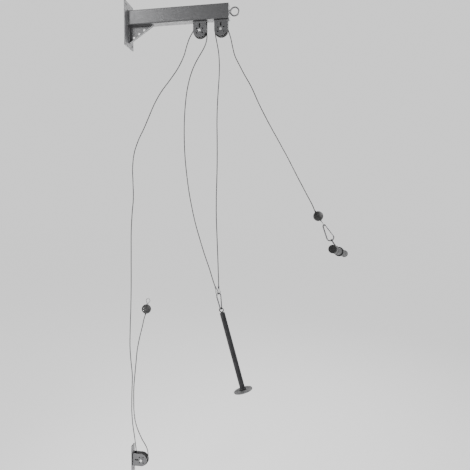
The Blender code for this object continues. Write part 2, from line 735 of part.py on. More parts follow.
def make_bearing(name, place):
    """Shielded ball bearing between the sleeve and the wheel."""
    outer = BEARING_DIAMETER / 2
    inner = SLEEVE_DIAMETER / 2 + SEAT_GAP
    half = BEARING_WIDTH / 2
    profile = [(outer, half), (outer, -half), (inner, -half), (inner, half)]
    return turned(name, profile, place, BEARING_STEEL, closed=True, steps=16)


def make_wheel(name, place):
    """Moulded nylon wheel with a round-bottomed groove, a thin web and a wide hub."""
    rim = WHEEL_DIAMETER / 2
    half = WHEEL_WIDTH / 2
    web = WHEEL_WEB / 2
    hub = WHEEL_HUB_WIDTH / 2
    inside_rim = rim - WHEEL_RIM_DEPTH
    boss = WHEEL_HUB_DIAMETER / 2
    bore = BEARING_DIAMETER / 2 + SEAT_GAP
    mouth = GROOVE_MOUTH / 2
    floor = CABLE_ON_WHEEL - GROOVE_RADIUS
    profile = [(rim, half), (rim, mouth), (floor, GROOVE_RADIUS / 2), (floor, -GROOVE_RADIUS / 2),
               (rim, -mouth), (rim, -half), (inside_rim, -half), (inside_rim, -web),
               (boss, -web), (boss, -hub), (bore, -hub), (bore, hub), (boss, hub), (boss, web),
               (inside_rim, web), (inside_rim, half)]
    return turned(name, profile, place, NYLON, closed=True, steps=20)


def make_block(prefix, axle, towards_mount):
    """One pulley block at an axle, with its moving wheel and bearing on a pivot."""
    place = frame(axle, -Y, towards_mount.cross(-Y))
    make_bracket(prefix + "_pulley_bracket", place)
    make_axle_bolt(prefix + "_axle_bolt", place)
    make_axle_nut(prefix + "_axle_nut", place)
    make_sleeve(prefix + "_axle_sleeve", place)
    wheel = make_wheel(prefix + "_wheel", place)
    bearing = make_bearing(prefix + "_wheel_bearing", place)
    hang(pivot(prefix + "_wheel_pivot", axle), [wheel, bearing])


def make_low_plate():
    z = LOW_PLATE_HEIGHT / 2 - LOW_PLATE_HOLE_INSET
    holes = [circle((0, side * z), LOW_PLATE_HOLE / 2, 12) for side in (-1, 1)]
    outline = rectangle(LOW_PLATE_WIDTH, LOW_PLATE_HEIGHT, LOW_PLATE_CORNER)
    return flat("low_wall_plate", [outline] + holes, LOW_PLATE_THICKNESS,
                wall_place(LOW_PLATE_THICKNESS / 2, LOW_AXLE_HEIGHT), GREY_COAT)


# Cables

def leaving_point(axle, leaves):
    return axle + leaves * CABLE_ON_WHEEL


def make_cable_on_wheel(name, axle, first, last, over_top):
    """Cable round a wheel from one leaving point to the other."""
    start = math.atan2(first.z, first.x)
    end = math.atan2(last.z, last.x)
    while over_top and end > start:
        end -= 2 * math.pi
    while not over_top and end < start:
        end += 2 * math.pi
    turn = math.copysign(1, end - start)
    start += turn * (SEAT_GAP + CABLE_SQUARE_END) / CABLE_ON_WHEEL
    end -= turn * (SEAT_GAP + CABLE_SQUARE_END) / CABLE_ON_WHEEL
    steps = math.ceil(abs(end - start) / (2 * CABLE_LARGEST_BEND))
    points = []
    for i in range(steps + 1):
        t = start + (end - start) * i / steps
        points.append(Vector((math.cos(t), 0, math.sin(t))) * CABLE_ON_WHEEL)
    for index, t, side in ((0, start, -turn), (len(points), end, turn)):
        forward = Vector((-math.sin(t), 0, math.cos(t))) * side
        points.insert(index, points[index - (index > 0)] + forward * CABLE_SQUARE_END)
    return tube(name, points, CABLE, Matrix.Translation(axle), CABLE_COAT)


def make_free_cable(name, start, start_line, route, end, end_line, lead):
    """Cable along its route, straight over its last stretch, the lead into its fitting."""
    points = smooth_route([start] + route + [end - end_line * lead], start_line, end_line)
    return tube(name, points + [end], CABLE, Matrix.Identity(4), CABLE_COAT)


# Cable ends. Each has a pressed ferrule and a wire eye, along its line from its place.
WIRE_IN_EYE = FERRULE_LENGTH + EYE_LOOP_LENGTH - EYE_LOOP_WIRE - CLIP_WIRE / 2 - LINK_PLAY


def make_cable_end(name, origin, line, eye_axis):
    """Ferrule and wire eye in one, with the eye's hole along its axis."""
    place = frame(origin, line, Vector(eye_axis).cross(line))
    radius = FERRULE_DIAMETER / 2
    bend = EYE_LOOP_WIDTH / 2 - EYE_LOOP_WIRE / 2
    foot = FERRULE_LENGTH
    middle = foot + EYE_LOOP_LENGTH - EYE_LOOP_WIRE / 2 - bend
    leg = EYE_LOOP_LEG_SPAN / 2
    reach = math.hypot(middle - foot, leg)
    lean = math.degrees(math.acos(bend / reach) - math.atan2(leg, middle - foot))
    turn = arc((0, middle), bend, lean - 90, 270 - lean, 11)
    outline = [(leg, foot / 2), (leg, foot)] + turn + [(-leg, foot), (-leg, foot / 2)]
    points = [Vector((x, 0, z)) for x, z in outline]
    eye = tube_as_mesh(name, points, EYE_LOOP_WIRE, place, BRIGHT)
    profile = [(0, FERRULE_LENGTH), (radius, FERRULE_LENGTH), (radius, 0), (0, 0)]
    return fuse(eye, turned(name + "_ferrule", profile, place, steps=12))


# Ball stops

def make_ball_half(name, centre, line, side):
    """Half of a ball stop. Side is 1 or -1, for the half on the +Y or the -Y side of the cable."""
    place = frame(centre, Y * side, line)
    radius = BALL_DIAMETER / 2
    seam = BALL_SEAM / 2
    start = math.degrees(math.asin(seam / radius))
    profile = [(radius * math.cos(math.radians(d)), radius * math.sin(math.radians(d)))
               for d in (76, 57, 38, 19, start)]
    half = turned(name, [(0, radius)] + profile + [(0, seam)], place, RUBBER, steps=18)
    cable_place = frame(centre, line, Y)
    reach = radius + OVERSHOOT
    cut(half, rod(name + "_bore", CABLE / 2 + SEAT_GAP, -reach, BALL_FERRULE_SEAT, cable_place,
                  sides=10))
    cut(half, rod(name + "_pocket", FERRULE_DIAMETER / 2 + SEAT_GAP, BALL_FERRULE_SEAT - SEAT_GAP,
                  reach, cable_place, sides=12))
    return half


def make_ball_stop(name, centre, line, heads):
    """Two moulded halves, with recesses for two screws on the Y side that heads gives."""
    heads_half = make_ball_half(name + "_head_half", centre, line, heads)
    other_half = make_ball_half(name + "_nut_half", centre, line, -heads)
    side_line = Vector(line).cross(Y).normalized() * math.copysign(1, line.z)
    for rise in (-BALL_SCREW_RISE, BALL_SCREW_RISE):
        spot = frame(centre + side_line * BALL_SCREW_SIDE + line * rise, Y * heads, line)
        cut(heads_half, rod(name + "_screw_way", BALL_SCREW_WAY / 2, BALL_SCREW_SEAT,
                            BALL_DIAMETER / 2, spot, sides=8))
    return [heads_half, other_half]


# Spring clips

def clip_shape():
    """Where the clip's gate starts and ends, and the lean of its sides, narrow end at zero."""
    centres = CLIP_SPAN - CLIP_NARROW_BEND - CLIP_WIDE_BEND
    lean = math.asin((CLIP_WIDE_BEND - CLIP_NARROW_BEND) / centres)
    hinge = (CLIP_NARROW_BEND * math.cos(lean), CLIP_NARROW_BEND * (1 - math.sin(lean)))
    wide_middle = CLIP_SPAN - CLIP_WIDE_BEND
    latch = (CLIP_WIDE_BEND * math.cos(lean), wide_middle - CLIP_WIDE_BEND * math.sin(lean))
    return Vector(hinge), Vector(latch), math.degrees(lean)


def clip_frame(narrow_end, towards_wide_end, gate_side):
    """Place of a clip whose narrow end's wire is at a point, with its gate on one side."""
    side = squared(gate_side, towards_wide_end)
    return frame(narrow_end, side.cross(towards_wide_end), side)


def make_clip(name, place):
    """Pear-shaped wire body and its riveted gate.

    Local Y runs from the narrow end's wire to the wide end's, and the gate is on the +X side.
    """
    hinge, latch, lean = clip_shape()
    gate_line = (latch - hinge).normalized()
    clear = GATE_DIAMETER / 2 + SEAT_GAP + CLIP_SQUARE_END
    first = -lean - math.degrees(math.asin(clear / CLIP_NARROW_BEND))
    narrow = arc((0, CLIP_NARROW_BEND), CLIP_NARROW_BEND, first, lean - 180, 7)
    wide = arc((0, CLIP_SPAN - CLIP_WIDE_BEND), CLIP_WIDE_BEND, 180 + lean, -lean, 10)
    heading = Vector((-math.sin(math.radians(first)), math.cos(math.radians(first))))
    start = Vector(narrow[0]) + heading * CLIP_SQUARE_END
    end = latch - gate_line * CLIP_SQUARE_END
    points = [Vector((x, y, 0)) for x, y in [tuple(start)] + narrow + wide + [tuple(end)]]
    body = tube_as_mesh(name + "_body", points, CLIP_WIRE, place, BRIGHT)

    towards = (hinge - start).normalized()
    sideways = Vector((-towards.y, towards.x))
    half = TONGUE_WIDTH / 2
    root = start - towards * OVERSHOOT
    turn = math.degrees(math.atan2(towards.y, towards.x))
    tip = arc(hinge, half, turn - 90, turn + 90, 6)
    tongue_outline = [tuple(root - sideways * half)] + tip + [tuple(root + sideways * half)]
    hole = circle(hinge, RIVET / 2 + SEAT_GAP, 8)
    fuse(body, flat(name + "_tongue", [tongue_outline, hole], TONGUE_THICKNESS, place))

    world_line = direction(place, (gate_line.x, gate_line.y, 0))
    normal = direction(place, (0, 0, 1))
    hinge_spot = place @ Vector((hinge.x, hinge.y, 0))
    gate_place = frame(hinge_spot, world_line, normal)
    length = (end - hinge).length - SEAT_GAP
    radius = GATE_DIAMETER / 2
    knuckle = [(radius * math.cos(math.radians(d)), -radius * math.sin(math.radians(d)))
               for d in (30, 60)]
    profile = [(0, length), (radius, length), (radius, 0)]
    gate = turned(name + "_gate", profile + knuckle + [(0, -radius)], gate_place, BRIGHT, steps=12)
    slot_reach = TONGUE_WIDTH / 2 + EDGE_BREAK
    slot_start = radius + OVERSHOOT
    slot_middle = gate_place @ Matrix.Translation((0, 0, (slot_reach - slot_start) / 2))
    cut(gate, box(name + "_fork", (GATE_SLOT, 2 * GATE_DIAMETER, slot_reach + slot_start), slot_middle))
    rivet_place = frame(hinge_spot, normal, world_line)
    rivet_end = radius + RIVET_PROUD
    fuse(gate, rod(name + "_rivet", RIVET / 2, -rivet_end, rivet_end, rivet_place, sides=8))
    return body, gate, hinge_spot


# Loading pin

def make_pin_eye(origin, line, axis):
    """Ring with a stud that screws into the top of the pin, its wire's middle at the origin."""
    place = frame(origin, line, axis)
    ring_end = PIN_EYE_RADIUS + PIN_EYE_WIRE / 2
    stud = PIN_EYE_STUD / 2
    stud_end = ring_end + PIN_EYE_STUD_LENGTH
    profile = [(0, stud_end), (stud - EDGE_BREAK, stud_end), (stud, stud_end - EDGE_BREAK),
               (stud, ring_end - EDGE_BREAK), (stud - EDGE_BREAK, ring_end - PIN_EYE_WIRE / 2),
               (0, ring_end - PIN_EYE_WIRE / 2)]
    eye = turned("load_pin_eye", profile, place, DARK_COAT, steps=12)
    ring_place = frame(origin, axis, line)
    return fuse(eye, ring("load_pin_ring", PIN_EYE_RADIUS, PIN_EYE_WIRE, ring_place, steps=20,
                          sides=8))


def make_load_pin(origin, line):
    """Solid steel pin below its eye, with a collar and a base disc that holds the plates."""
    place = frame(origin, line, Y)
    top = PIN_EYE_RADIUS + PIN_EYE_WIRE / 2 + SEAT_GAP
    bottom = top + PIN_LENGTH
    radius = PIN_DIAMETER / 2
    bore = PIN_EYE_STUD / 2 + SEAT_GAP
    bore_end = top + PIN_EYE_STUD_LENGTH + EDGE_BREAK
    screw_bore = PIN_SCREW / 2 + SEAT_GAP
    bore_top = bottom - PIN_SCREW_LENGTH
    profile = [(0, bore_top), (screw_bore, bore_top), (screw_bore, bottom), (radius, bottom),
               (radius, top + PIN_CHAMFER), (radius - PIN_CHAMFER, top), (bore, top),
               (bore, bore_end), (0, bore_end)]
    pin = turned("load_pin_shaft", profile, place, DARK_COAT, steps=24)
    disc_top = bottom + SEAT_GAP
    disc_end = disc_top + PIN_BASE_THICKNESS
    disc = PIN_BASE_DIAMETER / 2
    head = PIN_SCREW_HEAD / 2
    mouth = head + PIN_SCREW_SUNK + 2 * SEAT_GAP
    sink = mouth - screw_bore
    profile = [(screw_bore, disc_end - sink), (mouth, disc_end), (disc - EDGE_BREAK, disc_end),
               (disc, disc_end - EDGE_BREAK), (disc, disc_top + EDGE_BREAK),
               (disc - EDGE_BREAK, disc_top), (screw_bore, disc_top)]
    base = turned("load_pin_base", profile, place, DARK_COAT, closed=True, steps=30)
    sleeve = PIN_COLLAR_DIAMETER / 2
    hug = radius + SEAT_GAP
    low = disc_top - SEAT_GAP
    high = low - PIN_COLLAR_HEIGHT
    profile = [(hug, low), (sleeve, low), (sleeve, high + PIN_COLLAR_CHAMFER),
               (sleeve - PIN_COLLAR_CHAMFER, high), (hug, high)]
    collar = turned("load_pin_collar", profile, place, DARK_COAT, closed=True, steps=24)
    shank = PIN_SCREW / 2
    screw_end = disc_end - PIN_SCREW_SUNK
    screw_top = screw_end - PIN_SCREW_LENGTH
    profile = [(0, screw_end), (head, screw_end), (shank, screw_end - head + shank),
               (shank, screw_top), (0, screw_top)]
    screw = turned("load_pin_screw", profile, place, ZINC, steps=12)
    return [pin, base, collar, screw]


# Straight bar

def make_bar(centre, axis, hang_line):
    """Hollow knurled tube with end caps, two rubber collars and a hub for the eye."""
    place = frame(centre, axis, hang_line)
    outer = BAR_DIAMETER / 2
    inner = outer - BAR_WALL
    half = BAR_LENGTH / 2
    pieces = [turned("bar_tube", [(outer, half), (outer, -half), (inner, -half), (inner, half)],
                     place, KNURLED, closed=True, steps=20)]
    cap = BAR_CAP_DIAMETER / 2
    plug = inner - SEAT_GAP
    collar = BAR_COLLAR_DIAMETER / 2
    wide = BAR_COLLAR_WIDTH / 2
    hug = outer + SEAT_GAP
    for side, end in ((-1, "near"), (1, "far")):
        cap_place = frame(centre + axis * (side * (half + SEAT_GAP)), axis * side, hang_line)
        profile = [(0, BAR_CAP_FACE), (cap - BAR_CAP_ROUNDING, BAR_CAP_FACE - EDGE_BREAK),
                   (cap, BAR_CAP_FACE - BAR_CAP_ROUNDING - EDGE_BREAK), (cap, 0), (plug, 0),
                   (plug, -BAR_CAP_PLUG), (0, -BAR_CAP_PLUG)]
        pieces.append(turned("bar_" + end + "_end_cap", profile, cap_place, RUBBER, steps=20))
        collar_place = frame(centre + axis * (side * BAR_COLLAR_OFFSET), axis, hang_line)
        profile = [(collar, wide), (collar, -wide), (hug, -wide), (hug, wide)]
        pieces.append(turned("bar_" + end + "_collar", profile, collar_place, ZINC, closed=True,
                             steps=20))

    hub_half = BAR_HUB_WIDTH / 2
    hub = BAR_HUB_DIAMETER / 2
    slim = hub - BAR_HUB_CHAMFER
    profile = [(slim, hub_half), (hub, hub_half - BAR_HUB_CHAMFER),
               (hub, BAR_HUB_CHAMFER - hub_half), (slim, -hub_half), (hug, -hub_half),
               (hug, hub_half)]
    hub_piece = turned("bar_hub", profile, place, DARK_COAT, closed=True, steps=20)
    boss_place = frame(centre, -hang_line, axis)
    boss = BAR_BOSS_DIAMETER / 2
    stem_way = BAR_EYE_STEM / 2 + SEAT_GAP
    floor = BAR_BOSS_HEIGHT - BAR_EYE_STEM_INTO_BOSS - SEAT_GAP
    root = hub - BAR_HUB_CHAMFER - BAR_BOSS_SUNK
    profile = [(0, floor), (stem_way, floor), (stem_way, BAR_BOSS_HEIGHT),
               (boss - EDGE_BREAK, BAR_BOSS_HEIGHT), (boss, BAR_BOSS_HEIGHT - EDGE_BREAK),
               (boss, root), (0, root)]
    pieces.append(fuse(hub_piece, turned("bar_boss", profile, boss_place, steps=14)))
    return pieces


def make_bar_eye(origin, centre, line, axis):
    """Ring and stem that screw into the hub's boss."""
    place = frame(origin, line, axis)
    ring_end = BAR_EYE_RADIUS + BAR_EYE_WIRE / 2
    stem_end = (centre - origin).length - BAR_BOSS_HEIGHT + BAR_EYE_STEM_INTO_BOSS
    stem = BAR_EYE_STEM / 2
    stem_root = ring_end - BAR_EYE_WIRE / 2
    profile = [(0, stem_end), (stem, stem_end), (stem, ring_end), (stem - EDGE_BREAK, stem_root),
               (0, stem_root)]
    eye = turned("bar_eye", profile, place, DARK_COAT, steps=12)
    ring_place = frame(origin, line.cross(axis), line)
    return fuse(eye, ring("bar_eye_ring", BAR_EYE_RADIUS, BAR_EYE_WIRE, ring_place, steps=22,
                          sides=8))


# The fixed pieces
make_wall_plate()
make_arm_tube()
make_end_plate()
make_arm_eye()
make_gusset()
make_low_plate()

# The three pulley blocks
make_block("front", FRONT_AXLE, Z)
make_block("rear", REAR_AXLE, Z)
make_block("low", LOW_AXLE, -X)

# Loading pin's side: clip, cable ends and pin. The clip's wide end is up.
pin_clip_foot = PIN_CLIP_TOP + PIN_CLIP_LINE * CLIP_SPAN
pin_clip_place = clip_frame(pin_clip_foot, -PIN_CLIP_LINE, PIN_CLIP_FACE)
pin_clip_side = direction(pin_clip_place, X)
pin_clip_body, pin_clip_gate, pin_gate_hinge = make_clip("pin_clip", pin_clip_place)
bend_drop = CLIP_WIDE_BEND - math.sqrt(CLIP_WIDE_BEND ** 2 - CABLE_EYE_STEP ** 2)
front_eye_wire = PIN_CLIP_TOP + pin_clip_side * CABLE_EYE_STEP + PIN_CLIP_LINE * bend_drop
rear_eye_wire = PIN_CLIP_TOP - pin_clip_side * CABLE_EYE_STEP + PIN_CLIP_LINE * bend_drop
front_pin_start = front_eye_wire - FRONT_PIN_END_LINE * WIRE_IN_EYE
rear_pin_start = rear_eye_wire - REAR_PIN_END_LINE * WIRE_IN_EYE
front_pin_end = make_cable_end("front_cable_pin_end", front_pin_start, FRONT_PIN_END_LINE,
                               pin_clip_side)
rear_pin_end = make_cable_end("rear_cable_pin_end", rear_pin_start, REAR_PIN_END_LINE,
                              pin_clip_side)
pin_eye_reach = PIN_EYE_RADIUS - PIN_EYE_WIRE / 2 - CLIP_WIRE / 2 - RING_PLAY
pin_eye_centre = pin_clip_foot + PIN_LINE * pin_eye_reach
load_pin = [make_pin_eye(pin_eye_centre, PIN_LINE, PIN_EYE_AXIS)]
load_pin += make_load_pin(pin_eye_centre, PIN_LINE)

pin_carriage = pivot("pin_carriage", PIN_CLIP_TOP)
pin_clip_pivot = pivot("pin_clip_pivot", PIN_CLIP_TOP, pin_carriage)
load_pin_pivot = pivot("load_pin_pivot", pin_clip_foot, pin_clip_pivot)
pin_gate_pivot = pivot("pin_gate_pivot", pin_gate_hinge, pin_clip_pivot)
hang(pin_carriage, [front_pin_end, rear_pin_end])
hang(pin_clip_pivot, [pin_clip_body])
hang(load_pin_pivot, load_pin)
hang(pin_gate_pivot, [pin_clip_gate])

# Bar's side: ball stop, cable end, clip and bar
bar_ball = make_ball_stop("bar_ball_stop", BAR_BALL, BAR_BALL_LINE, 1)
bar_end_start = BAR_BALL + BAR_BALL_LINE * BALL_FERRULE_SEAT
bar_cable_end = make_cable_end("front_cable_bar_end", bar_end_start, BAR_BALL_LINE,
                               Y.cross(BAR_BALL_LINE))
bar_clip_top = bar_end_start + BAR_BALL_LINE * WIRE_IN_EYE
bar_clip_foot = bar_clip_top + BAR_CLIP_LINE * CLIP_SPAN
bar_clip_place = clip_frame(bar_clip_top, BAR_CLIP_LINE, Y.cross(-BAR_CLIP_LINE))
bar_clip_body, bar_clip_gate, bar_gate_hinge = make_clip("bar_clip", bar_clip_place)
bar_eye_reach = BAR_EYE_RADIUS - BAR_EYE_WIRE / 2 - CLIP_WIRE / 2 - RING_PLAY
bar_eye_centre = bar_clip_foot + BAR_HANG_LINE * bar_eye_reach
bar_centre = bar_clip_foot + BAR_HANG_LINE * BAR_HANG
pull_bar = make_bar(bar_centre, BAR_AXIS, BAR_HANG_LINE)
pull_bar.append(make_bar_eye(bar_eye_centre, bar_centre, BAR_HANG_LINE, BAR_AXIS))

bar_carriage = pivot("bar_carriage", BAR_BALL)
bar_eye_bottom = bar_clip_top + BAR_BALL_LINE * (CLIP_WIRE / 2 + LINK_PLAY + EYE_LOOP_WIRE / 2)
bar_clip_pivot = pivot("bar_clip_pivot", bar_eye_bottom, bar_carriage)
bar_ring_top = bar_eye_centre - BAR_HANG_LINE * BAR_EYE_RADIUS
pull_bar_pivot = pivot("pull_bar_pivot", bar_ring_top, bar_clip_pivot)
bar_gate_pivot = pivot("bar_gate_pivot", bar_gate_hinge, bar_clip_pivot)
hang(bar_carriage, bar_ball + [bar_cable_end])
hang(bar_clip_pivot, [bar_clip_body])
hang(pull_bar_pivot, pull_bar)
hang(bar_gate_pivot, [bar_clip_gate])

# Low cable's free end
low_ball = make_ball_stop("low_ball_stop", LOW_BALL, LOW_BALL_LINE, -1)
low_end_start = LOW_BALL + LOW_BALL_LINE * BALL_FERRULE_SEAT
low_cable_end = make_cable_end("rear_cable_free_end", low_end_start, LOW_BALL_LINE, Y)
hang(pivot("low_carriage", LOW_BALL), low_ball + [low_cable_end])

# Front cable, from the pin over the front wheel to the bar
make_free_cable("front_cable_pin_side", leaving_point(FRONT_AXLE, FRONT_PIN_LEAVES),
                Y.cross(FRONT_PIN_LEAVES) * -1, FRONT_PIN_ROUTE,
                front_pin_start - FRONT_PIN_END_LINE * SEAT_GAP, FRONT_PIN_END_LINE, CABLE_LEAD)
make_cable_on_wheel("front_cable_over_wheel", FRONT_AXLE, FRONT_PIN_LEAVES, FRONT_BAR_LEAVES, True)
make_free_cable("front_cable_bar_side", leaving_point(FRONT_AXLE, FRONT_BAR_LEAVES),
                Y.cross(FRONT_BAR_LEAVES), FRONT_BAR_ROUTE,
                bar_end_start - BAR_BALL_LINE * SEAT_GAP, BAR_BALL_LINE, BALL_DIAMETER)

# Rear cable, from the pin over the rear wheel, down the wall and round the low wheel
make_free_cable("rear_cable_pin_side", leaving_point(REAR_AXLE, REAR_PIN_LEAVES),
                Y.cross(REAR_PIN_LEAVES), REAR_PIN_ROUTE,
                rear_pin_start - REAR_PIN_END_LINE * SEAT_GAP, REAR_PIN_END_LINE, CABLE_LEAD)
make_cable_on_wheel("rear_cable_over_wheel", REAR_AXLE, REAR_DOWN_LEAVES, REAR_PIN_LEAVES, True)
make_free_cable("rear_cable_down_run", leaving_point(REAR_AXLE, REAR_DOWN_LEAVES),
                Y.cross(REAR_DOWN_LEAVES) * -1, REAR_DOWN_ROUTE,
                leaving_point(LOW_AXLE, LOW_DOWN_LEAVES), -Z, CABLE_LEAD)
make_cable_on_wheel("rear_cable_round_low_wheel", LOW_AXLE, LOW_DOWN_LEAVES, LOW_END_LEAVES, False)
make_free_cable("rear_cable_low_end", leaving_point(LOW_AXLE, LOW_END_LEAVES), Z, LOW_END_ROUTE,
                low_end_start - LOW_BALL_LINE * SEAT_GAP, LOW_BALL_LINE, BALL_DIAMETER)
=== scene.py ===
"""Surfaces, cables and studio of the wall-mounted cable pulley system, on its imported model."""

import json
import math

import bmesh
import bpy
from mathutils import Matrix, Vector


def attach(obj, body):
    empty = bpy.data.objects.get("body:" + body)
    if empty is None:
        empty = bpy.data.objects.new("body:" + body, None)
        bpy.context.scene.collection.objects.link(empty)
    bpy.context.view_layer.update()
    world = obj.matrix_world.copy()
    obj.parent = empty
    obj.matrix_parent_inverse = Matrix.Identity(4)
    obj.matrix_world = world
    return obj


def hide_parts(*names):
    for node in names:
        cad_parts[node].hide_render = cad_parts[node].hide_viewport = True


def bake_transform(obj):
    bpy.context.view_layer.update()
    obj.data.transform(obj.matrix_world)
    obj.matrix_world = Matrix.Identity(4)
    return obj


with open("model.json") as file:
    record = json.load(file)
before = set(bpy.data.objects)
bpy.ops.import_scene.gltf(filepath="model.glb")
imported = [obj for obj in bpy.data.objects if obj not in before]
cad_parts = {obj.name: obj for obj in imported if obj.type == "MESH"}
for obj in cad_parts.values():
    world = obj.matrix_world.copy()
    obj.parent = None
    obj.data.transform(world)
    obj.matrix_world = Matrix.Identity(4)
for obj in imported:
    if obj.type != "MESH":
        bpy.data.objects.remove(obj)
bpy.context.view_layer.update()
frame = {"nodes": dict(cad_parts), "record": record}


# Camera. It stands level with the middle of the cables and to the right of the arm's end, looks
# very slightly down and back towards the wall, and takes in everything from the arm's top to the
# low pulley.

CAMERA_PLACE = Vector((0.9584, -2.2945, -0.9827))
CAMERA_TURN = math.radians(9.708)
CAMERA_TILT = math.radians(-2.59)
CAMERA_LENS = 34.86
CAMERA_SENSOR = 36.0


def link(name, data):
    """Object in the scene for a mesh, curve, lamp or camera."""
    made = bpy.data.objects.new(name, data)
    bpy.context.scene.collection.objects.link(made)
    return made


camera = link("camera", bpy.data.cameras.new("camera"))
camera.data.lens = CAMERA_LENS
camera.data.sensor_width = CAMERA_SENSOR
camera.data.clip_start = 0.05
camera.data.clip_end = 60
camera.location = CAMERA_PLACE
camera.rotation_euler = (math.pi / 2 + CAMERA_TILT, 0, CAMERA_TURN)
bpy.context.scene.camera = camera


# Wall plate, arm and end plate. Flat steel plate and rectangular steel tube, welded and then
# powder coated grey, which leaves a finely pebbled, slightly mottled skin. Its rounded edges are
# painted paler, partly as wear and partly as a painted highlight.

NODES = frame["nodes"]
BODIES = frame["record"]["behaviour"]["bodies"]
BODY_OF = {node: body for body, nodes in BODIES.items() for node in nodes}
SLOT_OF = {part["node"]: part["material_slot"] for part in frame["record"]["subparts"]}
X = Vector((1, 0, 0))
Y = Vector((0, 1, 0))
Z = Vector((0, 0, 1))


class Graph:
    """Shader tree, with short ways to add nodes to it."""

    def __init__(self, tree):
        self.tree = tree

    def feed(self, node, inputs):
        """Sets a node's inputs. A value may be another node's output."""
        for socket, value in inputs.items():
            if isinstance(value, bpy.types.NodeSocket):
                self.tree.links.new(value, node.inputs[socket])
            else:
                node.inputs[socket].default_value = value

    def add(self, kind, inputs, **settings):
        """Adds a node and returns its outputs."""
        node = self.tree.nodes.new("ShaderNode" + kind)
        for key, value in settings.items():
            setattr(node, key, value)
        self.feed(node, inputs)
        return node.outputs

    def spot(self):
        return self.add("TexCoord", {})["Object"]

    def noise(self, spot, scale, detail=2, roughness=0.5):
        inputs = {"Vector": spot, "Scale": scale, "Detail": detail, "Roughness": roughness}
        return self.add("TexNoise", inputs)[0]

    def stretch(self, value, low, high, to_low=0.0, to_high=1.0):
        """Clamped map of a value from low..high."""
        return self.add("MapRange", {"Value": value, "From Min": low, "From Max": high,
                                     "To Min": to_low, "To Max": to_high})["Result"]

    def work_out(self, operation, *values):
        return self.add("Math", dict(enumerate(values)), operation=operation)[0]

    def times(self, first, second):
        return self.work_out("MULTIPLY", first, second)

    def mix(self, mask, first, second):
        inputs = {"Factor": mask, "A": first, "B": second}
        return self.add("Mix", inputs, data_type="RGBA")["Result"]


class Group(Graph):
    """Shader group that gives out masks or heights."""

    def __init__(self, name, inputs, outputs):
        super().__init__(bpy.data.node_groups.new(name, "ShaderNodeTree"))
        for side, labels in (("INPUT", inputs), ("OUTPUT", outputs)):
            for label in labels:
                self.tree.interface.new_socket(name=label, in_out=side,
                                               socket_type="NodeSocketFloat")
        self.given = self.tree.nodes.new("NodeGroupInput").outputs
        self.out = self.tree.nodes.new("NodeGroupOutput")

    def close(self, outputs):
        self.feed(self.out, outputs)
        return self.tree


def coat_texture_group():
    """Pebbled and mottled skin of sprayed or moulded surfaces."""
    group = Group("coat_texture", ["Pebble Scale", "Mottle Scale"], ["Mottle", "Grain", "Height"])
    spot = group.spot()
    pebble = group.noise(spot, group.given[0], 2, 0.55)
    mottle = group.noise(spot, group.given[1], 5, 0.65)
    return group.close({"Mottle": group.stretch(mottle, 0.32, 0.68),
                        "Grain": group.stretch(pebble, 0.35, 0.65), "Height": pebble})


def edge_wear_and_highlight_group():
    """Where rounded edges are paler, partly as worn finish and partly as a painted highlight."""
    group = Group("edge_wear_and_highlight", ["Amount"], ["Mask"])
    edge = group.add("Attribute", {}, attribute_name="wear_and_highlight")["Fac"]
    chips = group.stretch(group.noise(group.spot(), 90, 4, 0.7), 0.40, 0.60, 0.25, 1.0)
    worn_and_highlight = group.times(edge, chips)
    return group.close({"Mask": group.times(worn_and_highlight, group.given[0])})


def scuff_group():
    """Fine crossing scratches from handling, gathered in patches."""
    group = Group("scuffs", ["Scale", "Amount"], ["Mask"])
    spot = group.spot()
    lines = []
    for turn in ((0.3, 0.5, 0.2), (1.2, -0.4, 0.9)):
        inputs = {"Vector": spot, "Rotation": turn, "Scale": (1, 14, 14)}
        scratch = group.noise(group.add("Mapping", inputs)[0], group.given[0], 3)
        lines.append(group.stretch(scratch, 0.66, 0.74))
    patch = group.stretch(group.noise(spot, 9, 3), 0.40, 0.62)
    marks = group.times(group.work_out("MAXIMUM", *lines), patch)
    return group.close({"Mask": group.times(marks, group.given[1])})


COAT_TEXTURE = coat_texture_group()
EDGE_WEAR_AND_HIGHLIGHT = edge_wear_and_highlight_group()
SCUFFS = scuff_group()


class Finish(Graph):
    """Material with the coat texture as its skin."""

    def __init__(self, name, pebble_scale, mottle_scale):
        self.material = bpy.data.materials.new(name)
        self.material.use_nodes = True
        super().__init__(self.material.node_tree)
        self.mottle, self.grain, self.height = self.add(
            "Group", {0: pebble_scale, 1: mottle_scale}, node_tree=COAT_TEXTURE)

    def wear_and_highlight(self, amount):
        return self.add("Group", {"Amount": amount}, node_tree=EDGE_WEAR_AND_HIGHLIGHT)[0]

    def scuffs(self, scale, amount):
        return self.add("Group", {"Scale": scale, "Amount": amount}, node_tree=SCUFFS)[0]

    def close(self, colour, roughness, height, bump, depth, metallic=0.0, specular=0.5):
        """Links up the shader and returns the material. The bump's depth is in metres."""
        relief = self.add("Bump", {"Height": height, "Strength": bump, "Distance": depth})[0]
        self.feed(self.tree.nodes["Principled BSDF"], {
            "Base Color": colour, "Roughness": roughness, "Normal": relief, "Metallic": metallic,
            "Specular IOR Level": specular})
        return self.material


def grey(level, blue=None):
    """Grey, with its blue a little apart where one is given."""
    return (level, level, blue or level, 1)


def scaled(colour, factor):
    return tuple(channel * factor for channel in colour[:3]) + (1,)


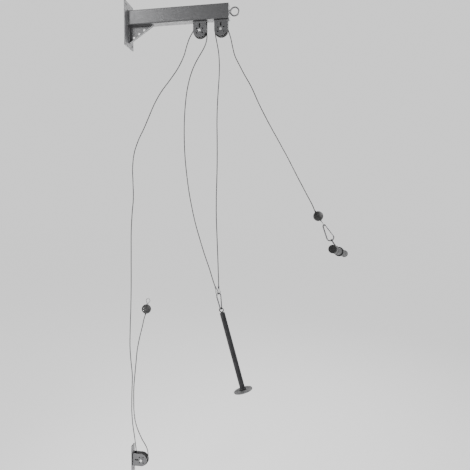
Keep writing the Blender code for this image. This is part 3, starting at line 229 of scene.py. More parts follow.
def coat_finish(name, dark, light, worn_and_highlight, roughness, metallic, mottle_scale=40, bump=0.25,
                specular=0.5):
    """Mottled two-colour powder coat, paler on scuffs and on edges (wear and painted highlight)."""
    coat = Finish(name, 950, mottle_scale)
    mask = coat.work_out("MULTIPLY_ADD", coat.grain, 0.45, coat.times(coat.mottle, 0.55))
    # Rubbed joins the scuffs and the paler rounded edges, which are wear and painted highlight.
    rubbed = coat.work_out("MAXIMUM", coat.wear_and_highlight(0.55), coat.scuffs(30, 0.3))
    colour = coat.mix(rubbed, coat.mix(mask, dark, light), worn_and_highlight)
    matt = coat.stretch(coat.mottle, 0, 1, roughness - 0.06, roughness + 0.06)
    return coat.close(colour, matt, coat.height, bump, 0.0006, metallic, specular)


GREY_COAT = coat_finish("grey_powder_coat", grey(0.064, 0.067), grey(0.096, 0.099),
                        grey(0.30, 0.31), 0.48, 0.25)


def round_edges(shape, width, sharp=math.radians(28)):
    """Rounds the sharp edges and marks each rounding's middle for wear and painted highlight."""
    wear_and_highlight = shape.verts.layers.float.new("wear_and_highlight")
    edges = [e for e in shape.edges if len(e.link_faces) == 2 and e.calc_face_angle() > sharp]
    made = bmesh.ops.bevel(shape, geom=edges, offset=width, offset_type="OFFSET", affect="EDGES",
                           segments=2, profile=0.5, material=-1, clamp_overlap=True)
    rounding = set(made["faces"])
    for vert in made["verts"]:
        if vert.is_valid and all(face in rounding for face in vert.link_faces):
            vert[wear_and_highlight] = 1.0
    return shape


def copy_of(node, rounding):
    """CAD node with its triangles merged, its flat faces joined and its edges rounded."""
    shape = bmesh.new()
    shape.from_mesh(NODES[node].data)
    bmesh.ops.remove_doubles(shape, verts=shape.verts, dist=0.000005)
    bmesh.ops.dissolve_limit(shape, angle_limit=math.radians(0.5), verts=shape.verts,
                             edges=shape.edges, use_dissolve_boundaries=False)
    return round_edges(shape, rounding)


def mesh_of(name, shape):
    """Mesh from a bmesh, which is used up."""
    mesh = bpy.data.meshes.new(name)
    shape.to_mesh(mesh)
    shape.free()
    return mesh


def new_object(name, shape, finish):
    thing = link(name, mesh_of(name, shape))
    thing.data.shade_smooth()
    thing.data.materials.append(finish)
    return thing


def make_piece(name, shape, finish, body, slot, *nodes):
    """Piece that rides on a body and takes the place of the CAD nodes named."""
    piece = new_object(name, shape, finish)
    piece.modifiers.new("flat_faces_first", "WEIGHTED_NORMAL").keep_sharp = True
    if nodes:
        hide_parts(*nodes)
    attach(piece, body)
    return piece


def dress(node, made, shape, finish):
    """Piece in place of one CAD node, named after it and how it is made."""
    return make_piece(node + "_" + made, shape, finish, BODY_OF[node], SLOT_OF[node], node)


for plate, edge in (("wall_plate", 0.0008), ("arm_tube", 0.0004), ("arm_end_plate", 0.0006)):
    dress(plate, "coated", copy_of(plate, edge), GREY_COAT)


# Arm eye bolt. A forged ring and collar on a threaded shank through the end plate, coated a paler
# grey than the arm, with a zinc plated nut inside it.

ARM_EYE_SEAT = Vector((0.5376, 0, 0.0326))
ARM_EYE_COLLAR = 0.003
ARM_EYE_COLLAR_RADIUS = 0.009
ARM_EYE_RADIUS = 0.0210
ARM_EYE_WIRE = 0.0078
ARM_EYE_SHANK = 0.010
ARM_EYE_SHANK_LENGTH = 0.0155

EYE_COAT = coat_finish("pale_grey_powder_coat", grey(0.105, 0.108), grey(0.160, 0.164),
                       grey(0.35, 0.36), 0.45, 0.25, bump=0.15)


def place_of(origin, along, across):
    """Matrix whose local Z is along and whose local X is across, squared to it."""
    z_axis = Vector(along).normalized()
    across = Vector(across)
    x_axis = (across - z_axis * across.dot(z_axis)).normalized()
    turn = Matrix((x_axis, z_axis.cross(x_axis), z_axis)).transposed()
    return Matrix.Translation(origin) @ turn.to_4x4()


def moved(shape, place):
    bmesh.ops.transform(shape, matrix=place, verts=shape.verts)
    return shape


def tidied(shape, gap=0.000002):
    """The shape with its doubled points merged and its faces all turned outwards."""
    bmesh.ops.remove_doubles(shape, verts=shape.verts, dist=gap)
    bmesh.ops.recalc_face_normals(shape, faces=shape.faces)
    return shape


def spun(profile, place, steps, closed=False, rounding=None):
    """Turned shape from a profile of (radius, height) points. Its UV map is unrolled in metres."""
    shape = bmesh.new()
    corners = [shape.verts.new((radius, 0, height)) for radius, height in profile]
    pairs = list(zip(corners, corners[1:]))
    if closed:
        pairs.append((corners[-1], corners[0]))
    edges = [shape.edges.new(pair) for pair in pairs]
    bmesh.ops.spin(shape, geom=corners + edges, axis=(0, 0, 1), cent=(0, 0, 0), steps=steps,
                   angle=2 * math.pi, use_merge=True)
    tidied(shape)
    unrolled = shape.loops.layers.uv.new("unrolled")
    girth = 2 * math.pi * max(radius for radius, height in profile)
    for face in shape.faces:
        turns = [math.atan2(c.vert.co.y, c.vert.co.x) / (2 * math.pi) for c in face.loops]
        for corner, turn in zip(face.loops, turns):
            turn += max(turns) - turn > 0.5
            corner[unrolled].uv = (turn * girth, corner.vert.co.z)
    moved(shape, place)
    return round_edges(shape, rounding) if rounding else shape


def mirrored(profile):
    """The profile, and the same below height 0 in reverse."""
    return profile + [(radius, -height) for radius, height in reversed(profile)]


def add_torus(shape, radius, wire, place, steps):
    """Adds a ring of round wire round the local Z of its place."""
    made = bmesh.ops.create_circle(shape, segments=20, radius=wire / 2)["verts"]
    stand = place @ Matrix.Translation(X * radius) @ Matrix.Rotation(math.pi / 2, 4, "X")
    bmesh.ops.transform(shape, matrix=stand, verts=made)
    edges = {edge for vert in made for edge in vert.link_edges}
    bmesh.ops.spin(shape, geom=made + list(edges), axis=place.to_3x3() @ Z, steps=steps,
                   cent=place.translation, angle=2 * math.pi, use_merge=True)
    return tidied(shape)


half_wire = ARM_EYE_WIRE / 2
shank = ARM_EYE_SHANK / 2
profile = [(0, ARM_EYE_COLLAR + half_wire), (shank, ARM_EYE_COLLAR + half_wire),
           (ARM_EYE_COLLAR_RADIUS, ARM_EYE_COLLAR - 0.001), (ARM_EYE_COLLAR_RADIUS, 0),
           (shank, 0), (shank, -ARM_EYE_SHANK_LENGTH), (0, -ARM_EYE_SHANK_LENGTH)]
shape = spun(profile, place_of(ARM_EYE_SEAT, X, Y), 40, rounding=0.0007)
centre = ARM_EYE_SEAT + X * (ARM_EYE_COLLAR + ARM_EYE_RADIUS + half_wire - 0.001)
add_torus(shape, ARM_EYE_RADIUS, ARM_EYE_WIRE, place_of(centre, Y, X), 64)
make_piece("arm_eye_forged", shape, EYE_COAT, BODY_OF["arm_eye_bolt"], SLOT_OF["arm_eye_bolt"],
           "arm_eye_bolt")


# Gusset. Pressed steel triangle with a thin web inside a wider rim and three lightening holes,
# welded under the arm and coated with it. Its coat is mottled finer and with more contrast.

GUSSET_COAT = coat_finish("grey_powder_coat_on_pressing", grey(0.040, 0.042), grey(0.110, 0.114),
                          grey(0.45, 0.46), 0.50, 0.25, mottle_scale=140)
dress("arm_gusset", "coated", copy_of("arm_gusset", 0.0005), GUSSET_COAT)


# Weld beads. Rippled fillets that join the arm and the gusset to the wall plate, the gusset and
# both pulley brackets to the arm, and the low bracket to its plate, all coated over.

WELD_RADIUS = 0.0030
WELD_RIPPLE = 0.0024
WELD_STEP = 0.0006
PLATE_TOE = 0.0072
ARM_TOE = -0.0058
BRACKET_HALF = 0.0343
AXLES = {"front": Vector((0.496, 0, -0.0549)), "rear": Vector((0.387, 0, -0.0549)),
         "low": Vector((0.055, 0, -2.308))}


def shape_of(thing):
    """Bmesh of an object as it is seen. The object itself is taken away."""
    bpy.context.view_layer.update()
    seen = thing.evaluated_get(bpy.context.evaluated_depsgraph_get())
    shape = bmesh.new()
    shape.from_mesh(bpy.data.meshes.new_from_object(seen))
    bpy.data.objects.remove(thing, do_unlink=True)
    return shape


def wire_shape(points, diameter, sides, radii=None):
    """Round wire through the points."""
    curve = bpy.data.curves.new("wire", "CURVE")
    curve.dimensions = "3D"
    curve.bevel_depth = diameter / 2
    curve.bevel_resolution = sides // 2 - 2
    curve.use_fill_caps = True
    spline = curve.splines.new("POLY")
    spline.points.add(len(points) - 1)
    for index, (point, spot) in enumerate(zip(spline.points, points)):
        point.co = (*spot, 1)
        point.radius = radii[index] if radii else 1.0
    return tidied(shape_of(link("wire", curve)), 0.000001)


def weld_bead(name, *corners):
    """Fillet along a line of corners, with the ripple that a hand-held torch leaves."""
    points = [Vector(corners[0])]
    for start, end in zip(corners, corners[1:]):
        run = Vector(end) - Vector(start)
        count = max(2, round(run.length / WELD_STEP))
        points += [Vector(start) + run * (i / count) for i in range(1, count + 1)]
    radii = []
    length = 0.0
    for i in range(len(points)):
        length += (points[i] - points[max(i - 1, 0)]).length
        ripple = abs(math.sin(math.pi * length / WELD_RIPPLE))
        sway = math.sin(length * 190) + math.sin(length * 431 + 1)
        radii.append(0.88 + 0.14 * ripple + 0.04 * sway)
    radii[0] = radii[-1] = 0.45
    bead = wire_shape(points, 2 * WELD_RADIUS, 12, radii)
    return make_piece("weld_" + name, bead, GREY_COAT, "wall_frame", "grey_coat")


side, low, high = 0.0253, -0.0052, 0.0704
weld_bead("arm_to_plate", *[(PLATE_TOE, y, z) for y, z in (
    (0, low), (side, low), (side, high), (-side, high), (-side, low), (0, low))])
for tag, y in (("near", -0.0083), ("far", 0.0083)):
    weld_bead("gusset_to_plate_" + tag, (PLATE_TOE, y, -0.008), (PLATE_TOE, y, -0.0885))
    weld_bead("gusset_to_arm_" + tag, (0.009, y, ARM_TOE), (0.1345, y, ARM_TOE))
for block in ("front", "rear"):
    for tag, reach in (("inner", -BRACKET_HALF), ("outer", BRACKET_HALF)):
        x = AXLES[block].x + reach
        weld_bead(block + "_bracket_" + tag, (x, -0.011, ARM_TOE), (x, 0.011, ARM_TOE))
for tag, reach in (("lower", -BRACKET_HALF), ("upper", BRACKET_HALF)):
    z = AXLES["low"].z + reach
    weld_bead("low_bracket_" + tag, (0.0059, -0.011, z), (0.0059, 0.011, z))


# Pulley brackets and low wall plate. Each bracket is a bent steel channel with a slot and four
# lightening holes in both cheeks, coated like the arm. The low plate is plain flat bar.

for block in AXLES:
    bracket = block + "_pulley_bracket"
    dress(bracket, "coated", copy_of(bracket, 0.0005), GREY_COAT)
dress("low_wall_plate", "coated", copy_of("low_wall_plate", 0.0007), GREY_COAT)


# Axle bolts, lock nuts and sleeves. Turned steel with a fine grain and a slightly cloudy zinc
# plating. The bearings' ground steel and the other hidden parts get their metals here too.

def metal_finish(name, dark, light, roughness, grain_scale, bump):
    """Bare or plated metal with cloudy patches and a fine directionless grain."""
    metal = Finish(name, grain_scale, 120)
    colour = metal.mix(metal.mottle, dark, light)
    colour = metal.mix(metal.scuffs(60, 0.35), colour, scaled(dark, 0.55))
    matt = metal.stretch(metal.grain, 0, 1, roughness - 0.05, roughness + 0.09)
    return metal.close(colour, matt, metal.height, bump, 0.0002, 1.0)


ZINC = metal_finish("zinc_plating", (0.52, 0.53, 0.54, 1), grey(0.78, 0.77), 0.30, 1400, 0.2)
GROUND_STEEL = metal_finish("ground_bearing_steel", grey(0.45, 0.47), grey(0.6, 0.62), 0.24, 1800,
                            0.1)

for block in AXLES:
    for fastener in (block + "_axle_bolt", block + "_axle_nut"):
        dress(fastener, "plated", copy_of(fastener, 0.0004), ZINC)
    NODES[block + "_axle_sleeve"].material_slots[0].material = ZINC
    NODES[block + "_wheel_bearing"].material_slots[0].material = GROUND_STEEL
for hidden in ("arm_eye_nut", "load_pin_screw"):
    NODES[hidden].material_slots[0].material = ZINC


# Pulley wheels. Moulded black nylon with a round-bottomed groove for the cable, a thin web and a
# wide hub that holds the ball bearing.

WHEEL_RADIUS = 0.035
WHEEL_GROOVE_FLOOR = 0.0302
WHEEL_PROFILE = mirrored([
    (0.0123, 0.0075), (0.0155, 0.0075), (0.0155, 0.0045), (0.0275, 0.0045), (0.0275, 0.009),
    (WHEEL_RADIUS, 0.009), (WHEEL_RADIUS, 0.0062), (0.0311, 0.0030), (WHEEL_GROOVE_FLOOR, 0.0014)])


def moulded_finish(name, dark, light, roughness, pebble_scale, mottle_scale, bump, specks=0.0):
    """Moulded plastic or rubber with a fine grain, and pale specks where it is filled."""
    cast = Finish(name, pebble_scale, mottle_scale)
    colour = cast.mix(cast.mottle, dark, light)
    # Rounded edges are painted paler, as wear and as a painted highlight.
    colour = cast.mix(cast.wear_and_highlight(0.35), colour, scaled(light, 3))
    if specks:
        spot = cast.spot()
        cells = cast.add("TexVoronoi", {"Vector": spot, "Scale": pebble_scale / 4})["Distance"]
        shown = cast.stretch(cast.noise(spot, mottle_scale * 2), 0.45, 0.62)
        fleck = cast.times(cast.stretch(cells, 0.34, 0.22), shown)
        colour = cast.mix(cast.times(fleck, specks), colour, grey(0.23))
    matt = cast.stretch(cast.grain, 0, 1, roughness - 0.08, roughness + 0.08)
    return cast.close(colour, matt, cast.height, bump, 0.0005, specular=0.3)


NYLON = moulded_finish("black_nylon", grey(0.010), grey(0.020), 0.42, 1200, 60, 0.12)

for block, axle in AXLES.items():
    shape = spun(WHEEL_PROFILE, place_of(axle, -Y, X), 80, True, 0.0006)
    dress(block + "_wheel", "moulded", shape, NYLON)


# Cable ends. Each is a metal ferrule pressed on the cable in three bands, and a wire eye that a
# clip hooks into, both as bright as the clips.

FERRULE_LENGTH = 0.014
FERRULE_RADIUS = 0.0046
FERRULE_BANDS = 3
FERRULE_BAND_PITCH = 0.0040
EYE_LENGTH = 0.030
EYE_WIDTH = 0.024
EYE_WIRE = 0.0032
EYE_LEG_SPAN = 0.0038
CLIP_WIRE = 0.0065
LINK_PLAY = 0.0010
BALL_FERRULE_SEAT = 0.0155


def unit(x, y, z):
    return Vector((x, y, z)).normalized()


PIN_CLIP_TOP = Vector((0.4775, 0, -1.3895))
PIN_CLIP_SIDE = unit(0.40954, 0.90907, 0.07666)
FRONT_PIN_START = Vector((0.47909, 0.00409, -1.35321))
FRONT_PIN_LINE = unit(0.010, 0, -1)
REAR_PIN_START = Vector((0.46257, -0.00409, -1.35636))
REAR_PIN_LINE = unit(0.36, 0, -0.93)
BAR_BALL = Vector((0.9842, 0, -0.991))
BAR_BALL_LINE = unit(0.532, 0, -0.847)
BAR_END_START = BAR_BALL + BAR_BALL_LINE * BALL_FERRULE_SEAT
LOW_BALL = Vector((0.0861, 0, -1.487))
LOW_BALL_LINE = unit(0.21, 0, 0.978)
LOW_END_START = LOW_BALL + LOW_BALL_LINE * BALL_FERRULE_SEAT

CLIP_STEEL = metal_finish("bright_clip_steel", grey(0.09, 0.094), grey(0.19, 0.197), 0.32, 1500,
                          0.12)


def arc(centre, radius, start, end, steps):
    """Points on an arc, both ends included, with its angles in degrees."""
    turns = [math.radians(start + (end - start) * i / steps) for i in range(steps + 1)]
    return [(centre[0] + radius * math.cos(t), centre[1] + radius * math.sin(t)) for t in turns]


def join_shapes(shape, other):
    """Adds one bmesh to another."""
    carried = mesh_of("carried", other)
    shape.from_mesh(carried)
    bpy.data.meshes.remove(carried)


def cable_end(node, origin, line, eye_axis):
    place = place_of(origin, line, Vector(eye_axis).cross(line))
    bend = EYE_WIDTH / 2 - EYE_WIRE / 2
    middle = FERRULE_LENGTH + EYE_LENGTH - EYE_WIRE / 2 - bend
    leg = EYE_LEG_SPAN / 2
    reach = math.hypot(middle - FERRULE_LENGTH, leg)
    lean = math.degrees(math.acos(bend / reach) - math.atan2(leg, middle - FERRULE_LENGTH))
    outline = [(leg, FERRULE_LENGTH / 2), (leg, FERRULE_LENGTH)]
    outline += arc((0, middle), bend, lean - 90, 270 - lean, 40)
    outline += [(-leg, FERRULE_LENGTH), (-leg, FERRULE_LENGTH / 2)]
    shape = wire_shape([place @ Vector((x, 0, z)) for x, z in outline], EYE_WIRE, 16)
    wide = FERRULE_RADIUS
    profile = [(0, FERRULE_LENGTH), (wide - 0.0008, FERRULE_LENGTH),
               (wide, FERRULE_LENGTH - 0.0008)]
    for i in range(FERRULE_BANDS):
        top = FERRULE_LENGTH - 0.0020 - i * FERRULE_BAND_PITCH
        profile += [(wide, top), (wide - 0.0007, top - 0.0006), (wide - 0.0007, top - 0.0016),
                    (wide, top - 0.0022)]
    profile += [(wide, 0.0006), (wide - 0.0006, 0), (0, 0)]
    join_shapes(shape, spun(profile, place, 32, rounding=0.0002))
    return dress(node, "pressed", shape, CLIP_STEEL)


front_pin_end = cable_end("front_cable_pin_end", FRONT_PIN_START, FRONT_PIN_LINE, PIN_CLIP_SIDE)
rear_pin_end = cable_end("rear_cable_pin_end", REAR_PIN_START, REAR_PIN_LINE, PIN_CLIP_SIDE)
bar_cable_end = cable_end("front_cable_bar_end", BAR_END_START, BAR_BALL_LINE,
                          Y.cross(BAR_BALL_LINE))
low_cable_end = cable_end("rear_cable_free_end", LOW_END_START, LOW_BALL_LINE, Y)


# Ball stops. Two moulded halves of speckled black rubber screwed together round the cable end.
# They stop the cable at the pulley. Two countersunk screws sit in recesses on one side, and a
# short sleeve guards the cable where it enters.

BALL_RADIUS = 0.025
BALL_SEAM = 0.0002
BALL_BORE = 0.0028
BALL_POCKET = 0.0049
BALL_POCKET_FLOOR = 0.0152
SCREW_WAY = 0.0032
SCREW_SEAT = 0.017
SCREW_SIDE = 0.0072
SCREW_RISE = 0.0070
SCREW_HEAD = SCREW_WAY - 0.0003
SCREW_HEAD_TOP = 0.0022
SCREW_HEAD_FOOT = 0.0001
SOCKET_RADIUS = 0.00145
SOCKET_DEPTH = 0.0028
SOCKET_RISE = 0.0023
SLEEVE_RADIUS = 0.0043
SLEEVE_LENGTH = 0.0075
SLEEVE_SUNK = 0.0008

RUBBER = moulded_finish("speckled_black_rubber", grey(0.016), grey(0.040), 0.62, 1500, 160, 0.35,
                        specks=0.55)


def cut_out(shape, cutters):
    """Cuts shapes out of a shape and returns what is left."""
    body = link("cut_body", mesh_of("cut_body", shape))
    tools = [link("cut_tool", mesh_of("cut_tool", cutter)) for cutter in cutters]
    for tool in tools:
        modifier = body.modifiers.new("cut", "BOOLEAN")
        modifier.operation = "DIFFERENCE"
        modifier.solver = "EXACT"
        modifier.object = tool
    left = shape_of(body)
    for tool in tools:
        bpy.data.objects.remove(tool, do_unlink=True)
    return left


def prism(radius, depth, sides, spot, height):
    """Capped prism whose middle is at a height on a spot's local Z."""
    shape = bmesh.new()
    bmesh.ops.create_cone(shape, cap_ends=True, segments=sides, radius1=radius, radius2=radius,
                          depth=depth)
    return moved(shape, spot @ Matrix.Translation(Z * height))


def ball_half(node, centre, line, side, screw_spots):
    """Half of a ball stop, on the side of the cable that Y times side points to."""
    low = -math.sqrt(BALL_RADIUS ** 2 - BALL_BORE ** 2)
    high = math.sqrt(BALL_RADIUS ** 2 - BALL_POCKET ** 2)
    start = math.degrees(math.atan2(low, BALL_BORE))
    end = math.degrees(math.atan2(high, BALL_POCKET))
    profile = arc((0, 0), BALL_RADIUS, start, end, 36)
    profile += [(BALL_POCKET, BALL_POCKET_FLOOR), (BALL_BORE, BALL_POCKET_FLOOR)]
    shape = spun(profile, place_of(centre, line, Y), 72, closed=True)
    geometry = shape.verts[:] + shape.edges[:] + shape.faces[:]
    cut = bmesh.ops.bisect_plane(shape, geom=geometry, plane_co=centre + Y * side * BALL_SEAM,
                                 plane_no=-Y * side, clear_outer=True, dist=0.000001)
    rim = [e for e in cut["geom_cut"] if isinstance(e, bmesh.types.BMEdge)]
    bmesh.ops.triangle_fill(shape, edges=rim, use_beauty=True)
    bmesh.ops.recalc_face_normals(shape, faces=shape.faces)
    ways = [prism(SCREW_WAY, BALL_RADIUS - SCREW_SEAT, 28, spot, (BALL_RADIUS + SCREW_SEAT) / 2)
            for spot in screw_spots]
    return dress(node, "moulded", cut_out(shape, ways), RUBBER)


def make_screw(name, spot, body):
    """Countersunk screw with a hexagon socket, its head just above its seat."""
    profile = [(0, SCREW_HEAD_TOP), (SCREW_HEAD - 0.0005, SCREW_HEAD_TOP),
               (SCREW_HEAD, SCREW_HEAD_TOP - 0.0005), (SCREW_HEAD * 0.62, SCREW_HEAD_FOOT),
               (0, SCREW_HEAD_FOOT)]
    head = spun(profile, Matrix.Identity(4), 32, rounding=0.0002)
    moved(head, spot @ Matrix.Translation(Z * SCREW_SEAT))
    socket = prism(SOCKET_RADIUS, SOCKET_DEPTH, 6, spot, SCREW_SEAT + SOCKET_RISE)
    return make_piece(name, cut_out(head, [socket]), ZINC, body, "zinc")


def ball_stop(tag, centre, line, heads, body):
    """Both halves, the two screws and the cable's sleeve. Heads is the screws' side, along Y."""
    side_line = line.cross(Y).normalized() * math.copysign(1, line.z)
    spots = [place_of(centre + side_line * SCREW_SIDE + line * rise, Y * heads, line)
             for rise in (-SCREW_RISE, SCREW_RISE)]
    pieces = [ball_half(tag + "_head_half", centre, line, heads, spots),
              ball_half(tag + "_nut_half", centre, line, -heads, [])]
    pieces += [make_screw(tag + "_screw_" + letter, spot, body)
               for letter, spot in zip("ab", spots)]
    profile = [(BALL_BORE, 0), (SLEEVE_RADIUS, 0), (SLEEVE_RADIUS * 0.8, -SLEEVE_LENGTH),
               (BALL_BORE, -SLEEVE_LENGTH)]
    entry = centre - line * (BALL_RADIUS - SLEEVE_SUNK)
    shape = spun(profile, place_of(entry, line, Y), 32, True, 0.0005)
    return pieces + [make_piece(tag + "_cable_sleeve", shape, RUBBER, body, "rubber")]


bar_ball = ball_stop("bar_ball_stop", BAR_BALL, BAR_BALL_LINE, 1, "bar_carriage")
low_ball = ball_stop("low_ball_stop", LOW_BALL, LOW_BALL_LINE, -1, "low_carriage")


# Cables. Steel wire rope with a black plastic coat, 5 mm thick, whose strands show faintly as a
# relief in the coat, with painted shade in the grooves between them. The free stretches hang in
# the soft curves of cable that has been coiled, and run to the loading pin, the bar and the free
# end.

CABLE = 0.005
CABLE_RADIUS_ON_WHEEL = 0.033
CABLE_STEP = 0.006
STRAND_LAY = 0.020
STRANDS = 7
SEAT_GAP = 0.0003
CABLE_LEAD = 0.010

FRONT_PIN_LEAVES = unit(-0.989, 0, -0.150)
FRONT_BAR_LEAVES = unit(0.934, 0, 0.357)
REAR_PIN_LEAVES = unit(0.999, 0, 0.050)
REAR_DOWN_LEAVES = unit(-0.800, 0, 0.600)
LOW_DOWN_LEAVES = -X
LOW_END_LEAVES = X


def route(*spots):
    """Points from spots in millimetres: x, z and, where the cable leaves the middle plane, y."""
    return [Vector((x, sum(y), z)) / 1000 for x, z, *y in spots]


FRONT_PIN_ROUTE = route(
    (467.5, -87), (474.5, -122), (482, -165), (485.5, -215), (485, -275), (480.5, -340),
    (475.5, -420), (472.8, -510), (473.5, -600), (473.5, -700), (471.5, -800), (468.5, -900),
    (468.5, -1000), (471.5, -1090), (475, -1190, 1), (477.5, -1280, 3))
FRONT_BAR_ROUTE = route(
    (535, -68), (544, -96), (553.5, -140), (566, -187), (588.5, -233), (612, -278), (646, -338),
    (688, -430), (734, -521), (784, -612), (833, -702), (879, -792), (926, -881), (962.5, -953))
REAR_PIN_ROUTE = route(
    (421.5, -88), (414.5, -118), (400, -147), (381, -177), (363.5, -206), (348.5, -236),
    (336, -268), (326.5, -300), (315.5, -350), (308, -405), (302.5, -470), (300, -540),
    (300.5, -620), (304.5, -700), (312.5, -780), (323, -860), (337.5, -940), (355.5, -1022),
    (379, -1105), (405, -1188, -1), (434, -1270, -3))
REAR_DOWN_ROUTE = route(
    (345, -58), (331, -82), (319, -112), (300, -171), (269, -230), (225, -289), (177, -348),
    (140, -408), (111, -469), (83, -530), (51, -592), (28, -654), (17, -732), (18, -811),
    (19, -900), (12, -970), (7.5, -1060, -4), (7.5, -1200, -10), (7.5, -1360, -14),
    (7.5, -1480, -22), (7.5, -1600, -34), (7.5, -1690, -38), (7.5, -1760, -28), (8.5, -1840, -14),
    (7.5, -1950, -20), (7.5, -2050, -22), (8.5, -2130, -10), (12.5, -2191), (18.5, -2240),
    (22, -2275))
LOW_END_ROUTE = route(
    (88.5, -2280), (83.5, -2250), (71.5, -2226), (57, -2203), (41.5, -2172), (28, -2140),
    (18, -2106), (11.5, -2060), (9.5, -1992), (11.5, -1910), (18, -1843), (25, -1777),
    (32.5, -1711), (46, -1645), (63, -1580), (75.5, -1530))


def cable_finish(node, points):
    """Black coat over twisted strands, for the cable through the points."""
    coat = Finish(node + "_coat", 700, 25)
    split = coat.add("SeparateXYZ", {0: coat.add("UVMap", {}, uv_map="UVMap")["UV"]})
    along = coat.times(split["Y"], 2 * math.pi * length_of(points) / STRAND_LAY)
    around = coat.times(split["X"], 2 * math.pi)
    phase = coat.times(coat.work_out("ADD", along, around), STRANDS / 2)
    strand = coat.work_out("ABSOLUTE", coat.work_out("SINE", phase))
    colour = coat.mix(coat.mottle, grey(0.012), grey(0.024))
    # Painted shade darkens the grooves between the strands.
    colour = coat.mix(coat.stretch(strand, 0.0, 0.5, 0.35, 0.0), colour, grey(0.006))
    matt = coat.stretch(coat.grain, 0, 1, 0.28, 0.42)
    return coat.close(colour, matt, strand, 0.35, 0.0003, specular=0.3)


def evenly(points, step):
    """The same line with its points a step apart."""
    lengths = [0.0]
    for before, after in zip(points, points[1:]):
        lengths.append(lengths[-1] + (after - before).length)
    count = max(2, round(lengths[-1] / step))
    spaced = []
    index = 0
    for i in range(count + 1):
        target = lengths[-1] * i / count
        while index < len(points) - 2 and lengths[index + 1] < target:
            index += 1
        share = (target - lengths[index]) / (lengths[index + 1] - lengths[index])
        spaced.append(points[index].lerp(points[index + 1], share))
    return spaced


def smooth_route(knots, start_line, end_line):
    """Smooth curve through a cable's route."""
    runs = [after - before for before, after in zip(knots, knots[1:])]
    slopes = [start_line]
    for before, after in zip(runs, runs[1:]):
        share = before.length / (before.length + after.length)
        slopes.append(before.normalized().lerp(after.normalized(), share))
    slopes.append(end_line)
    line = [knots[0]]
    for i, run in enumerate(runs):
        for k in range(1, 17):
            t = k / 16
            line.append(knots[i] + run * (3 * t ** 2 - 2 * t ** 3)
                        + slopes[i] * (run.length * (t ** 3 - 2 * t ** 2 + t))
                        + slopes[i + 1] * (run.length * (t ** 3 - t ** 2)))
    return line


def length_of(points):
    return sum((after - before).length for before, after in zip(points, points[1:]))


def leaving_point(axle, leaves):
    return AXLES[axle] + leaves * CABLE_RADIUS_ON_WHEEL


def free_cable(node, axle, leaves, turn, spots, end, end_line, lead=CABLE_LEAD, gap=SEAT_GAP):
    """Cable from a wheel through its spots. Returns its piece, not riding yet, and its points."""
    end = end - end_line * gap
    knots = [leaving_point(axle, leaves)] + spots + [end - end_line * lead]
    line = smooth_route(knots, Y.cross(leaves) * turn, end_line)
    points = evenly(line + [end], CABLE_STEP)
    piece = new_object(node + "_coated", wire_shape(points, CABLE, 12), cable_finish(node, points))
    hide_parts(node)
    return piece, points


def cable_on_wheel(node, axle, first, last, over_top):
    """Cable lying in a wheel's groove, fixed to the wall frame."""
    start = math.degrees(math.atan2(first.z, first.x))
    turn = (math.degrees(math.atan2(last.z, last.x)) - start) % 360 - 360 * over_top
    trim = math.degrees(math.copysign(SEAT_GAP / CABLE_RADIUS_ON_WHEEL, turn))
    spots = arc(AXLES[axle].xz, CABLE_RADIUS_ON_WHEEL, start + trim, start + turn - trim, 48)
    points = [Vector((x, 0, z)) for x, z in spots]
    return dress(node, "coated", wire_shape(points, CABLE, 12), cable_finish(node, points))


piece, points = free_cable("front_cable_pin_side", "front", FRONT_PIN_LEAVES, -1, FRONT_PIN_ROUTE,
                           FRONT_PIN_START, FRONT_PIN_LINE)
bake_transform(piece)

piece, points = free_cable("front_cable_bar_side", "front", FRONT_BAR_LEAVES, 1, FRONT_BAR_ROUTE,
                           BAR_END_START, BAR_BALL_LINE, 2 * BALL_RADIUS)
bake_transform(piece)

piece, points = free_cable("rear_cable_pin_side", "rear", REAR_PIN_LEAVES, 1, REAR_PIN_ROUTE,
                           REAR_PIN_START, REAR_PIN_LINE)
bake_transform(piece)

piece, points = free_cable("rear_cable_down_run", "rear", REAR_DOWN_LEAVES, -1, REAR_DOWN_ROUTE,
                           leaving_point("low", LOW_DOWN_LEAVES), -Z, gap=0)
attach(piece, "wall_frame")

piece, points = free_cable("rear_cable_low_end", "low", LOW_END_LEAVES, -1, LOW_END_ROUTE,
                           LOW_END_START, LOW_BALL_LINE, 2 * BALL_RADIUS)
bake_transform(piece)

cable_on_wheel("front_cable_over_wheel", "front", FRONT_PIN_LEAVES, FRONT_BAR_LEAVES, True)
cable_on_wheel("rear_cable_over_wheel", "rear", REAR_DOWN_LEAVES, REAR_PIN_LEAVES, True)
cable_on_wheel("rear_cable_round_low_wheel", "low", LOW_DOWN_LEAVES, LOW_END_LEAVES, False)


# Spring clips. A pear-shaped body bent from bright steel wire, with a flattened tongue at its end,
# and a slotted gate that turns on a rivet through the tongue and closes on the body's nose.

CLIP_SPAN = 0.0855
CLIP_NARROW = 0.00685
CLIP_WIDE = 0.0170
GATE_RADIUS = 0.0030
GATE_SLOT = 0.0028
TONGUE = 0.0022
TONGUE_RADIUS = 0.0024
TONGUE_ROOT = 0.002
RIVET_RADIUS = 0.0010
RIVET_HEAD = 0.0017
RIVET_PROUD = 0.0006


def clip_place(narrow_end, towards_wide_end, gate_side):
    """Local Y runs from the narrow end's wire to the wide end's, and local X is the gate's side."""
    side = gate_side - towards_wide_end * gate_side.dot(towards_wide_end)
    return place_of(narrow_end, side.cross(towards_wide_end), side)


